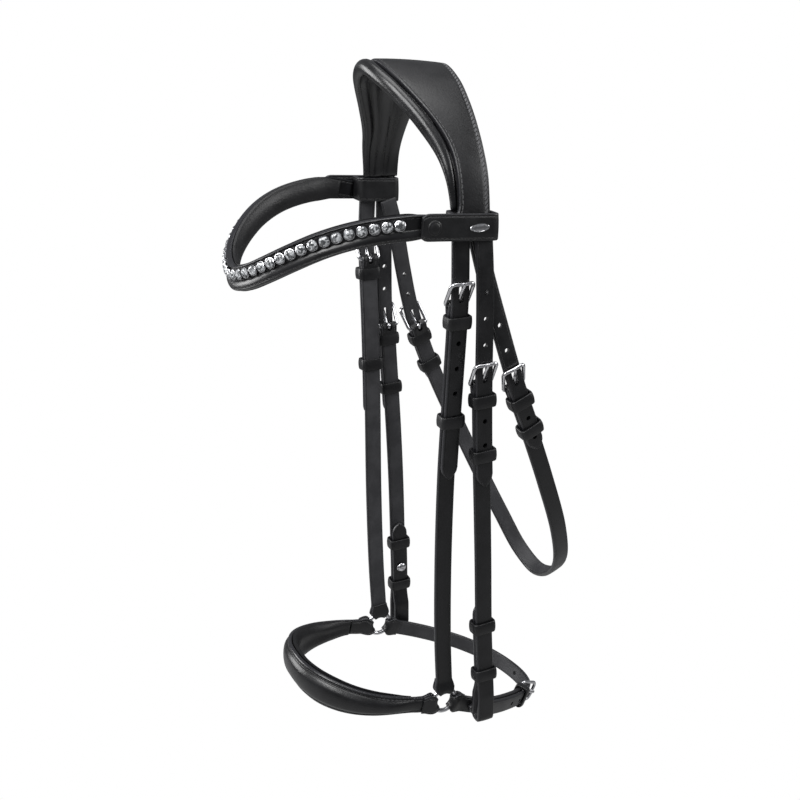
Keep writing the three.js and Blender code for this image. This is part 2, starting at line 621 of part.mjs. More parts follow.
function chinPieces() {
  const buckleAt = chinRoute.length - CHIN_BUCKLE_FROM_NEAR;
  const turned = { ...chinRoute, across: chinRoute.across.clone().negate() };
  const tipAt = chinRoute.length - CHIN_TIP_FROM_RING;
  const long = tippedStrap(turned, 0, tipAt, BILLET_WIDTH, 10).add(eyeBlock(-1, CHIN_SLOPE));
  const holes = [-2, -1, 2, 3].map((step) => buckleAt + FIRST_HOLE + step * CHIN_HOLE_PITCH);
  const slot = tongueSlot(turned, buckleAt);
  add('chin_strap_long', punched(cut(long, [slot, ringCutter(-1)]), turned, holes), leather);
  const plain = underStrap(turned, buckleAt, turned.length, 10).add(eyeBlock(1, CHIN_SLOPE));
  const folded = chape(plain, turned, buckleAt);
  add('chin_strap_short', folded.subtract(ringCutter(1)), leather);
  add('chin_buckle', buckleFrame(turned, buckleAt, STRAP_WIDTH), steel);
  add('chin_tongue', buckleTongue(turned, buckleAt), steel);
  add('chin_keeper', pairKeeper(turned, buckleAt + CHIN_KEEPER), leather);
}

chinPieces();

// ---------------------------------------------------------------- bit cheekpieces

const bitLine = [[71.5, -0.5, BILLET_TOP], [72.9, 0.1, -110], [73.6, 0.4, -135], [73.6, 0.6, -162],
  [73, 1.5, -190], [72, 3.3, -226], [71.6, 5.2, -262], [71.6, 6.9, -301], [72.2, 8.5, -352],
  [73.6, 9.7, -385], [75.8, 9.9, -406]].map(([x, y, z]) => onHead([x, BIT_Y + y, z]));
const BIT_BUCKLE = deep(-178);
const BIT_KEEPERS = [BIT_BUCKLE - 10, BIT_BUCKLE - 47];
const BIT_TIP = BIT_BUCKLE - 69;
const BIT_LOOP_TOP = bitLine.at(-1)[2];
const BIT_LOWER_KEEPERS = [BIT_LOOP_TOP + 54, BIT_LOOP_TOP + 18];
const BIT_FOLD_TIP = BIT_LOOP_TOP + 72;
const BIT_STUD = BIT_LOOP_TOP + 34;
const BIT_FOLD_HEIGHTS = [12, 21, 34, 54, 72]; // of its points, above the bit loop's top
const bitLoopY = bitLine.at(-1)[1];
const bitLoopOuter = bitLine.at(-1)[0] - LAYER; // middle of the loop's outer side
const bitLoopX = bitLoopOuter - (BIT_LOOP_GAP + STRAP_THICKNESS) / 2; // middle of its opening

// The bottom of the cheekpiece: a strap turned up round a flat-bottomed opening.
function bitLoop(side) {
  const inner = BIT_LOOP_GAP / 2;
  const outer = inner + STRAP_THICKNESS;
  const flat = BIT_LOOP_FLAT / 2;
  const turn = BIT_LOOP_TOP - BIT_LOOP_LENGTH + outer - flat; // height of the turn's centres
  const outline = new THREE.Shape();
  outline.moveTo(outer, BIT_LOOP_TOP + 1);
  outline.absarc(flat, turn, outer - flat, 0, -Math.PI / 2, true);
  outline.absarc(-flat, turn, outer - flat, -Math.PI / 2, -Math.PI, true);
  outline.lineTo(-outer, BIT_LOOP_TOP + 1);
  outline.lineTo(-inner, BIT_LOOP_TOP + 1);
  outline.absarc(-flat, turn, inner - flat, -Math.PI, -Math.PI / 2, false);
  outline.absarc(flat, turn, inner - flat, -Math.PI / 2, 0, false);
  outline.lineTo(inner, BIT_LOOP_TOP + 1);
  const geometry = new THREE.ExtrudeGeometry(outline, {
    depth: STRAP_WIDTH, bevelEnabled: false, curveSegments: 3,
  });
  geometry.translate(0, 0, -STRAP_WIDTH / 2).rotateX(Math.PI / 2);
  return solidOf(geometry.translate(side * bitLoopX, bitLoopY, 0));
}

function bitCheek(name, side) {
  const line = route(sidePoints(side, bitLine), facing(side));
  const buckleAt = distanceAtHeight(line, BIT_BUCKLE);
  const tipAt = distanceAtHeight(line, BIT_TIP);
  const billet = tippedStrap(line, 0, tipAt, BILLET_WIDTH);
  const holes = [-3, -2, -1, 2, 3].map((step) => buckleAt + FIRST_HOLE + step * HOLE_PITCH);
  add(`${name}_bit_billet`, punched(billet.subtract(tongueSlot(line, buckleAt)), line, holes), leather);

  const main = underStrap(line, buckleAt, line.length);
  const foldTip = distanceAtHeight(line, BIT_FOLD_TIP);
  const foldFoot = new THREE.Vector3(side * (bitLoopX - bitLoopOuter + bitLoopX), bitLoopY, BIT_LOOP_TOP);
  const foldLine = route([
    foldFoot, ...BIT_FOLD_HEIGHTS.map((height) => {
      const { at, out } = stand(line, distanceAtHeight(line, BIT_LOOP_TOP + height));
      return at.addScaledVector(out, -2 * LAYER);
    }),
  ], facing(-side));
  const fold = swept(foldLine, stations(0, foldLine.length, 8), flatOutline(STRAP_THICKNESS),
    evenEdges(STRAP_WIDTH));
  const studAt = distanceAtHeight(line, BIT_STUD);
  const slit = placed(box(5.4, STRAP_THICKNESS + 0.3, 10), line, studAt, -2 * LAYER);
  const whole = cut(chape(joined([main, bitLoop(side)]), line, buckleAt).add(fold), [slit]);
  add(`${name}_bit_cheek`, whole, leather);
  add(`${name}_bit_buckle`, buckleFrame(line, buckleAt, STRAP_WIDTH), steel);
  add(`${name}_bit_tongue`, buckleTongue(line, buckleAt), steel);
  BIT_KEEPERS.forEach((height, i) => {
    add(`${name}_bit_upper_keeper_${i + 1}`, pairKeeper(line, distanceAtHeight(line, height)), leather);
  });
  BIT_LOWER_KEEPERS.forEach((height, i) => {
    const loop = keeper(line, distanceAtHeight(line, height), STRAP_WIDTH,
      -2 * LAYER - STRAP_THICKNESS / 2, -LAYER + STRAP_THICKNESS / 2);
    add(`${name}_bit_lower_keeper_${i + 1}`, loop, leather);
  });
  const studRise = -LAYER - STRAP_THICKNESS / 2 - CLEARANCE;
  add(`${name}_bit_stud`, placed(studGeometry(), line, studAt, studRise), steel);
}

// A hook stud: a neck through the folded strap's slit, and a domed head on its inner side.
function studGeometry() {
  const neck = LAYER + 0.2;
  const profile = [[0, 0], [2.2, 0], [2.2, neck], [3.6, neck], [3.4, neck + 1], [2, neck + 1.9],
    [0, neck + 2.2]];
  const points = profile.map(([x, y]) => new THREE.Vector2(x, y));
  return new THREE.LatheGeometry(points, 12).rotateX(Math.PI);
}

bitCheek('near', 1);
bitCheek('far', -1);

// ---------------------------------------------------------------- throatlash

// From the near side of the headpiece, round under the jowl, and up to the far side.
const THROAT_TOP = BILLET_TOP - 2.4; // its cut end is slanted
const throatPoints = [[63.2, -13.9, THROAT_TOP], [65, -9.4, -111], [69.5, -2.2, -140], [73.5, 5.2, -168],
  [74.2, 13.6, -192], [70.5, 24.6, -216], [65.5, 41.6, -256], [56, 60.6, -301], [38, 75.6, -338],
  [8, 86.1, -365], [-20, 90.1, -375], [-40, 85.6, -364], [-53, 75.1, -337], [-65, 61.6, -303],
  [-75, 43.6, -259], [-79, 27.6, -221], [-78, 16.6, -194], [-74.5, 7.1, -166], [-69.5, -0.9, -138],
  [-65, -7.9, -111], [-63.2, -13.9, THROAT_TOP]].map(([x, y, z]) => onHead([x, THROAT_Y + y, z]));
const throatRoute = route(throatPoints.map((point) => new THREE.Vector3(...point)),
  new THREE.Vector3(0, 0.922, 0.387));
const THROAT_BUCKLE_FROM_TOP = 95;
const THROAT_KEEPERS = [10, 34]; // below the buckle
const THROAT_TIP = 51;

function reversedRoute(way) {
  const points = way.curve.points.slice().reverse();
  return route(points, way.across.clone().negate());
}

function throatSide(name, way) {
  const buckleAt = THROAT_BUCKLE_FROM_TOP;
  const tipAt = buckleAt + THROAT_TIP;
  const billet = tippedStrap(way, 0, tipAt, BILLET_WIDTH, 10).subtract(tongueSlot(way, buckleAt));
  const holes = [-2, -1, 2, 3].map((step) => buckleAt + FIRST_HOLE + step * HOLE_PITCH);
  add(`${name}_throat_billet`, punched(billet, way, holes), leather);
  add(`${name}_throat_buckle`, buckleFrame(way, buckleAt, STRAP_WIDTH), steel);
  add(`${name}_throat_tongue`, buckleTongue(way, buckleAt), steel);
  THROAT_KEEPERS.forEach((below, i) => {
    add(`${name}_throat_keeper_${i + 1}`, pairKeeper(way, buckleAt + below), leather);
  });
}

function throatlash() {
  const farRoute = reversedRoute(throatRoute);
  const end = throatRoute.length - THROAT_BUCKLE_FROM_TOP;
  const neck = CHAPE_NECK;
  const edges = (distance) => {
    const inset = Math.min(distance - THROAT_BUCKLE_FROM_TOP, end - distance);
    const half = (inset < neck ? BILLET_WIDTH : STRAP_WIDTH) / 2;
    return [-half, half];
  };
  const places = [THROAT_BUCKLE_FROM_TOP, THROAT_BUCKLE_FROM_TOP + neck - 1,
    ...stations(THROAT_BUCKLE_FROM_TOP + neck, end - neck, 11), end - neck + 1, end];
  const plain = swept(throatRoute, places, flatOutline(STRAP_THICKNESS), edges, -LAYER);
  const nearFold = chape(plain, throatRoute, THROAT_BUCKLE_FROM_TOP);
  add('throatlash', chape(nearFold, farRoute, THROAT_BUCKLE_FROM_TOP), leather);
  throatSide('near', throatRoute);
  throatSide('far', farRoute);
}

throatlash();

export default bridle;
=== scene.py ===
"""A snaffle bridle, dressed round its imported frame.

The shapes are worked out in millimetres and put into meshes in metres. +Z is up, the horse faces
-Y and the near (left) side is +X. Straps follow the same routes as the solids that they stand for.
"""

import logging
import math
from dataclasses import dataclass, field, replace
from enum import Enum
from typing import Optional, Sequence, Union

import bpy
import numpy as np
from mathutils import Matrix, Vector

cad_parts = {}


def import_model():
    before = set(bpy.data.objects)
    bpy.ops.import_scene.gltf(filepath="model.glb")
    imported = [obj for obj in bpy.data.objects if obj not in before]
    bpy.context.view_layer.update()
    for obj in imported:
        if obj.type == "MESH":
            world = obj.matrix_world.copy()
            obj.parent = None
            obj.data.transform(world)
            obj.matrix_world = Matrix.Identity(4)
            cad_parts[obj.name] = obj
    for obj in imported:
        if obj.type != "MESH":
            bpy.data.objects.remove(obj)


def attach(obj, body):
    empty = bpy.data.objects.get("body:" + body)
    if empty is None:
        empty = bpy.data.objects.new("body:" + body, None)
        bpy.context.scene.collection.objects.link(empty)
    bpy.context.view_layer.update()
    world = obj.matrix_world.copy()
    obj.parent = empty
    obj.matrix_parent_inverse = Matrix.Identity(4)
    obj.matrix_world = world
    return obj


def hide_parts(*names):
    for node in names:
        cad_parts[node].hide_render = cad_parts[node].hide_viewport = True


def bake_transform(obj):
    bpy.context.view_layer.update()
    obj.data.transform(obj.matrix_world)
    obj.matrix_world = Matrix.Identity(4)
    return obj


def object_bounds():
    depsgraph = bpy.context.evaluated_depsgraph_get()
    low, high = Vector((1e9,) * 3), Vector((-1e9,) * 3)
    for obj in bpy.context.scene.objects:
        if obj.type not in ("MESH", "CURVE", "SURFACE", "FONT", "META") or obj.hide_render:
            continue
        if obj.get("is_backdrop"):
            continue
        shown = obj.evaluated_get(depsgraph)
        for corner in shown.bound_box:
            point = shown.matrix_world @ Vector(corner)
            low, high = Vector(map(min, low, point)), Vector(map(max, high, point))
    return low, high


MM = 0.001
Points = Sequence[Sequence[float]]
log = logging.getLogger("bridle")


class Side(Enum):
    """The horse's left (near) or right (far) side."""

    NEAR = 1
    FAR = -1

    @property
    def word(self) -> str:
        """The side's name as the nodes use it."""
        return self.name.lower()


class Slot(Enum):
    """The record's material slots."""

    LEATHER = "leather"
    LINING = "padding"
    STEEL = "polished_metal"
    CRYSTAL = "crystal"


# ------------------------------------------------------------------ sizes that several pieces share


@dataclass(frozen=True)
class Sizes:
    """Sizes in millimetres that more than one piece is fitted to."""

    clearance: float = 0.35
    strap_width: float = 12.0
    strap_thickness: float = 3.2
    billet_width: float = 11.5
    hole_radius: float = 1.6
    hole_pitch: float = 16.5
    first_hole: float = -10.0
    wire_radius: float = 1.1
    buckle_length: float = 15.0
    chape_wall: float = 1.5
    tongue_width: float = 2.4
    keeper_wall: float = 1.5
    keeper_height: float = 8.0
    ring_radius: float = 8.5
    ring_wire: float = 1.5
    ring_at: tuple[float, float, float] = (55.0, 7.5, -412.0)
    eye_reach: float = 11.85  # from a ring's centre to where a strap's route ends
    crown_foot: float = -88.0
    billet_top: float = -89.2
    loop_height: float = 16.0
    loop_wall: float = 2.1
    loop_rise: float = 0.075

    @property
    def layer(self) -> float:
        """From one strap's middle to the middle of the next strap laid on it."""
        return self.strap_thickness + 0.4

    @property
    def skived(self) -> float:
        """Thickness of leather that is folded round a bar, as a share of a full strap's."""
        return self.chape_wall / self.strap_thickness

    @property
    def eye_gap(self) -> float:
        """From where a strap's route ends to the middle of its ring's wire."""
        return self.eye_reach - self.ring_radius

    @property
    def bar_depth(self) -> float:
        """From a billet's middle down to the middle of its buckle's bar."""
        return self.strap_thickness / 2 + self.chape_wall + 2 * self.clearance + self.wire_radius

    @property
    def frame_rise(self) -> float:
        """From a billet's middle up to the middle of its buckle's upper bar."""
        return self.strap_thickness / 2 + self.clearance + self.wire_radius

    @property
    def frame_lean(self) -> float:
        """The angle between a buckle's frame and its strap: arctangent of rise over length."""
        return math.atan2(self.bar_depth + self.frame_rise, self.buckle_length)

    @property
    def frame_length(self) -> float:
        """From a buckle's heel bar to its upper bar, along the frame."""
        return math.hypot(self.bar_depth + self.frame_rise, self.buckle_length)

    def ring_centre(self, side: Side) -> np.ndarray:
        """The middle of one side's noseband ring."""
        x, y, z = self.ring_at
        return np.array([side.value * x, y, z])


SIZES = Sizes()


def ease(value: np.ndarray, low: float, high: float) -> np.ndarray:
    """Rises smoothly from 0 at low to 1 at high: 3 t squared less 2 t cubed.

    Args:
        value: where to work it out.
        low: value at which the rise starts.
        high: value at which it ends.

    Returns:
        The eased share, from 0 to 1.
    """
    t = np.clip((np.asarray(value, float) - low) / (high - low), 0, 1)
    return t * t * (3 - 2 * t)


def unit(vectors: np.ndarray) -> np.ndarray:
    """Vectors of length one in the same directions."""
    return vectors / np.linalg.norm(vectors, axis=-1, keepdims=True)


# ------------------------------------------------------------------ routes, sections and surfaces


@dataclass
class Route:
    """A strap's way through space, closely sampled, with the direction that its width faces."""

    samples: np.ndarray
    across: Sequence[float]
    closed: bool = False
    reach: np.ndarray = field(init=False)

    def __post_init__(self) -> None:
        """Adds the closing sample and works out the distance along at each sample."""
        self.samples = np.asarray(self.samples, float)
        if self.closed:
            self.samples = np.vstack([self.samples, self.samples[:1]])
        steps = np.linalg.norm(np.diff(self.samples, axis=0), axis=1)
        self.reach = np.concatenate([[0.0], np.cumsum(steps)])

    @classmethod
    def through(cls, points: Points, across: Sequence[float], closeness: int = 70) -> "Route":
        """The centripetal Catmull-Rom curve through the points.

        Each span is a cubic whose end tangents come from its neighbours, with knots spaced by the
        square root of the distance between points, and mirrored points past both ends.

        Args:
            points: where the curve passes, in millimetres.
            across: the direction that the strap's width faces.
            closeness: samples on each span.

        Returns:
            The sampled route.
        """
        p = np.asarray(points, float)
        p = np.vstack([2 * p[0] - p[1], p, 2 * p[-1] - p[-2]])
        gap = np.sqrt(np.linalg.norm(np.diff(p, axis=0), axis=1))[:, None]
        p0, p1, p2, p3 = p[:-3], p[1:-2], p[2:-1], p[3:]
        d0, d1, d2 = gap[:-2], gap[1:-1], gap[2:]
        t1 = ((p1 - p0) / d0 - (p2 - p0) / (d0 + d1) + (p2 - p1) / d1) * d1
        t2 = ((p2 - p1) / d1 - (p3 - p1) / (d1 + d2) + (p3 - p2) / d2) * d1
        w = np.linspace(0, 1, closeness, endpoint=False)[None, :, None]
        a, b, c = p1[:, None], t1[:, None], (3 * (p2 - p1) - 2 * t1 - t2)[:, None]
        d = (2 * (p1 - p2) + t1 + t2)[:, None]
        curve = (a + b * w + c * w**2 + d * w**3).reshape(-1, 3)
        return cls(np.vstack([curve, p[-2]]), across)

    @property
    def length(self) -> float:
        """The whole way along."""
        return float(self.reach[-1])

    def to_end(self, distance: np.ndarray) -> np.ndarray:
        """How far distances along are from the nearer end."""
        return np.minimum(distance, self.length - distance)

    def at(self, distance: np.ndarray) -> np.ndarray:
        """Places at distances along, carried straight on past the ends of an open route."""
        distance = np.asarray(distance, float)
        inside = distance % self.length if self.closed else np.clip(distance, 0, self.length)
        place = np.stack([np.interp(inside, self.reach, self.samples[:, k]) for k in range(3)], -1)
        if not self.closed:
            first = unit(self.samples[1] - self.samples[0])
            last = unit(self.samples[-1] - self.samples[-2])
            place = place + np.minimum(distance, 0)[..., None] * first
            place = place + np.maximum(distance - self.length, 0)[..., None] * last
        return place

    def stand(self, distance: np.ndarray) -> tuple[np.ndarray, np.ndarray, np.ndarray, np.ndarray]:
        """Places and directions at distances along.

        Args:
            distance: distances along the route, in millimetres.

        Returns:
            The places, and the unit directions across, out of the face and along.
        """
        reach = 0.7
        along = unit(self.at(distance + reach) - self.at(distance - reach))
        wide = np.broadcast_to(np.asarray(self.across, float), along.shape)
        across = unit(wide - along * np.sum(wide * along, -1, keepdims=True))
        return self.at(distance), across, np.cross(along, across), along

    def at_height(self, height: float) -> float:
        """The distance along at which the route passes closest to a height."""
        return float(self.reach[np.argmin(np.abs(self.samples[:, 2] - height))])

    def shifted(self, distance: np.ndarray, out: np.ndarray) -> np.ndarray:
        """Places at distances along, moved out of the strap's face."""
        place, _, face, _ = self.stand(distance)
        return place + np.asarray(out, float)[..., None] * face

    def reversed(self) -> "Route":
        """The same way the other way round, with the same face outwards."""
        return Route(self.samples[::-1], -np.asarray(self.across, float))

    def placed(self, corners: np.ndarray, distance: float, out: float = 0.0) -> np.ndarray:
        """Sets corners made round the origin (across, out, along) down at a distance along."""
        place, across, face, along = self.stand(np.array(distance))
        return place + out * face + corners @ np.stack([across, face, along])


@dataclass
class Section:
    """A closed outline, anticlockwise: across = share x half width + inset, out = rise."""

    share: np.ndarray
    inset: np.ndarray
    rise: np.ndarray

    @classmethod
    def strap(cls, thickness: float, corner: float = 0.0, crown: float = 0.2) -> "Section":
        """A strap with rounded edges and a slightly crowned face.

        Args:
            thickness: from face to face.
            corner: radius of the rounded edges, half the thickness when it is 0.
            crown: how far the face's middle stands proud.

        Returns:
            The outline: four quarter circles, joined by the two faces.
        """
        half = thickness / 2
        corner = min(corner or half * 0.8, half)
        turn = np.radians(np.linspace(-90, 0, 5))
        quarter = [turn, turn + np.pi / 2, turn + np.pi, turn + 1.5 * np.pi]
        signs = [(1, -1), (1, 1), (-1, 1), (-1, -1)]
        face = np.linspace(1, -1, 9)[1:-1]
        parts = []
        for (side, level), angle in zip(signs, quarter):
            inset = -side * corner + corner * np.cos(angle)
            rise = level * (half - corner) + corner * np.sin(angle)
            parts.append(np.stack([np.full_like(angle, side), inset, rise]))
            if (side, level) == (1, 1):
                crowned = half + crown * (1 - face**2)
                parts.append(np.stack([face, -corner * face, crowned]))
            if (side, level) == (-1, -1):
                parts.append(np.stack([-face, corner * face, np.full_like(face, -half)]))
        return cls(*np.concatenate(parts, axis=1))

    @classmethod
    def round(cls, radius: float, sides: int = 16) -> "Section":
        """A circle, for wire."""
        angle = np.linspace(0, 2 * np.pi, sides, endpoint=False)
        return cls(np.zeros(sides), radius * np.cos(angle), radius * np.sin(angle))

    @classmethod
    def outline(cls, share: Sequence[float], rise: Sequence[float], closeness: int = 5) -> "Section":
        """A smooth closed outline through points given as shares of the half width and rises.

        Args:
            share: across, from -1 to 1, anticlockwise round the outline.
            rise: out of the face, in millimetres.
            closeness: samples between one point and the next.

        Returns:
            The outline, rounded by a closed cubic through its points.
        """
        p = np.stack([share, rise], -1)
        before, after, further = np.roll(p, 1, 0), np.roll(p, -1, 0), np.roll(p, -2, 0)
        w = np.linspace(0, 1, closeness, endpoint=False)[None, :, None]
        b, c = (after - before)[:, None] / 2, (further - p)[:, None] / 2
        a, d = p[:, None], after[:, None]
        curve = a + b * w + (3 * (d - a) - 2 * b - c) * w**2 + (2 * (a - d) + b + c) * w**3
        curve = curve.reshape(-1, 2)
        return cls(curve[:, 0], np.zeros(len(curve)), curve[:, 1])


@dataclass
class Surface:
    """A closed surface: corners in millimetres, faces, and a UV pair for each corner in metres.

    inner tells which of the quads belong to a strap's unpolished inner side.
    """

    corners: np.ndarray
    quads: np.ndarray
    tris: np.ndarray
    uv: np.ndarray
    inner: Optional[np.ndarray] = None

    @property
    def backs(self) -> np.ndarray:
        """Which quads are on the inner side; none unless told."""
        return np.zeros(len(self.quads), bool) if self.inner is None else self.inner

    def joined(self, *others: "Surface") -> "Surface":
        """This surface and others as one."""
        whole = self
        for other in others:
            step = len(whole.corners)
            whole = Surface(
                np.vstack([whole.corners, other.corners]),
                np.vstack([whole.quads, other.quads + step]),
                np.vstack([whole.tris, other.tris + step]),
                np.vstack([whole.uv, other.uv]),
                np.concatenate([whole.backs, other.backs]),
            )
        return whole

    def outwards(self) -> "Surface":
        """The surface with its faces turned outwards, judged by its signed volume."""
        q, c = self.quads, self.corners
        tris = np.vstack([self.tris, q[:, [0, 1, 2]], q[:, [0, 2, 3]]])
        volume = np.sum(c[tris[:, 0]] * np.cross(c[tris[:, 1]], c[tris[:, 2]]))
        if volume >= 0:
            return self
        return replace(self, quads=q[:, ::-1], tris=self.tris[:, ::-1])

    def build(self, name: str, material: bpy.types.Material, sharp: float = 55.0,
              inside: Optional[bpy.types.Material] = None) -> bpy.types.Object:
        """Puts the surface into a mesh object that sits at the origin.

        Args:
            name: the object's name.
            material: its finish.
            sharp: edges that turn by more than this angle stay crisp.
            inside: the finish of a strap's inner side, if it has its own.

        Returns:
            The linked object.
        """
        mesh = bpy.data.meshes.new(name)
        mesh.from_pydata((self.corners * MM).tolist(), [], self.quads.tolist() + self.tris.tolist())
        index = np.empty(len(mesh.loops), np.int32)
        mesh.loops.foreach_get("vertex_index", index)
        layer = mesh.uv_layers.new(name="run")
        layer.data.foreach_set("uv", self.uv[index].astype(np.float32).ravel())
        mesh.shade_smooth()
        mesh.set_sharp_from_angle(angle=math.radians(sharp))
        mesh.materials.append(material)
        if inside:
            mesh.materials.append(inside)
            index = np.concatenate([self.backs, np.zeros(len(self.tris), bool)]).astype(np.int32)
            mesh.polygons.foreach_set("material_index", index)
        obj = bpy.data.objects.new(name, mesh)
        bpy.context.scene.collection.objects.link(obj)
        return obj


NO_QUADS = np.zeros((0, 4), int)
NO_TRIS = np.zeros((0, 3), int)


def lattice(rows: int, columns: int, loop_rows: bool) -> np.ndarray:
    """Faces of a grid whose columns go round, and whose rows go round too if loop_rows is set."""
    i = np.arange(rows if loop_rows else rows - 1)[:, None]
    j = np.arange(columns)[None, :]
    after, beside = (i + 1) % rows, (j + 1) % columns
    corner = lambda row, column: (row * columns + column).ravel()
    return np.stack([corner(i, j), corner(i, beside), corner(after, beside), corner(after, j)], -1)


def carried(
    route: Route,
    distance: np.ndarray,
    section: Section,
    low: np.ndarray,
    high: np.ndarray,
    out: float = 0.0,
    thick: Optional[np.ndarray] = None,
) -> Surface:
    """A section carried along a route.

    A corner is the route's place, plus (middle of the edges + share x half width + inset x thick)
    across, plus (out + rise x thick) out of the face. Open ends close on a middle corner.

    Args:
        route: the way along.
        distance: stations, in millimetres along.
        section: the outline.
        low: the low edge across, at each station.
        high: the high edge across, at each station.
        out: how far the section is lifted out of the route's face.
        thick: scale of the rise at each station.

    Returns:
        The closed surface. Its U is the distance along and its V the distance in from an edge.
    """
    rows, columns = len(distance), len(section.share)
    place, across, face, _ = route.stand(distance)
    low, high = np.broadcast_to(low, (rows,)), np.broadcast_to(high, (rows,))
    half, middle = (high - low) / 2, (high + low) / 2
    thick = np.ones(rows) if thick is None else np.asarray(thick, float)
    x = section.share[None] * half[:, None] + section.inset[None] * thick[:, None]
    y = out + section.rise[None] * thick[:, None]
    corners = place[:, None] + (middle[:, None] + x)[..., None] * across[:, None]
    corners = corners + y[..., None] * face[:, None]
    run = np.broadcast_to(distance[:, None], x.shape)
    uv = np.stack([run, np.maximum(half[:, None] - np.abs(x), 0)], -1).reshape(-1, 2) * MM
    corners = corners.reshape(-1, 3)
    deep = section.rise < 0.9 * section.rise.min()
    under = deep & np.roll(deep, -1)
    if route.closed:
        return Surface(corners, lattice(rows, columns, True), NO_TRIS, uv).outwards()
    first, last = rows * columns, rows * columns + 1
    j = np.arange(columns)
    beside, top = (j + 1) % columns, (rows - 1) * columns
    start = np.stack([np.full(columns, first), beside, j], -1)
    end = np.stack([np.full(columns, last), top + j, top + beside], -1)
    middles = [corners[:columns].mean(0), corners[-columns:].mean(0)]
    ends = [[distance[0] * MM, 0], [distance[-1] * MM, 0]]
    return Surface(
        np.vstack([corners, middles]),
        lattice(rows, columns, False),
        np.vstack([start, end]),
        np.vstack([uv, ends]),
        np.tile(under, rows - 1),
    ).outwards()


def turned(profile: Points, sides: int = 32) -> Surface:
    """A profile turned about the out axis, from a pole to a pole.

    Args:
        profile: (radius, out) pairs, whose first and last radius are 0.
        sides: faces round the axis.

    Returns:
        The closed surface of revolution, made round the origin.
    """
    p = np.asarray(profile, float)
    angle = np.linspace(0, 2 * np.pi, sides, endpoint=False)
    ring = np.stack([np.cos(angle), np.zeros(sides), np.sin(angle)], -1)
    rows = p[1:-1, 0, None, None] * ring[None] + p[1:-1, 1, None, None] * np.array([0, 1, 0])
    corners = np.vstack([rows.reshape(-1, 3), [[0, p[0, 1], 0], [0, p[-1, 1], 0]]])
    count = len(p) - 2
    j = np.arange(sides)
    beside, top = (j + 1) % sides, (count - 1) * sides
    start = np.stack([np.full(sides, count * sides), beside, j], -1)
    end = np.stack([np.full(sides, count * sides + 1), top + j, top + beside], -1)
    uv = corners[:, [0, 2]] * MM
    return Surface(corners, lattice(count, sides, False), np.vstack([start, end]), uv).outwards()


def rounded_loop(width: float, height: float, radius: float, step: float = 0.6) -> np.ndarray:
    """A rectangle with rounded corners, as closely spaced points anticlockwise round the origin.

    Args:
        width: the whole size along the first axis.
        height: the whole size along the second axis.
        radius: of the corners.
        step: spacing of the points.

    Returns:
        The points, one row each.
    """
    turn = np.linspace(0, np.pi / 2, 7)
    a, b = width / 2 - radius, height / 2 - radius
    arcs = []
    for quarter, (x, y) in enumerate([(a, b), (-a, b), (-a, -b), (a, -b)]):
        angle = turn + quarter * np.pi / 2
        arcs.append(np.stack([x + radius * np.cos(angle), y + radius * np.sin(angle)], -1))
    p = np.vstack(arcs + [arcs[0][:1]])
    reach = np.concatenate([[0], np.cumsum(np.linalg.norm(np.diff(p, axis=0), axis=1))])
    d = np.linspace(0, reach[-1], int(reach[-1] / step) + 1)[:-1]
    return np.stack([np.interp(d, reach, p[:, 0]), np.interp(d, reach, p[:, 1])], -1)


# ------------------------------------------------------------------ finishes


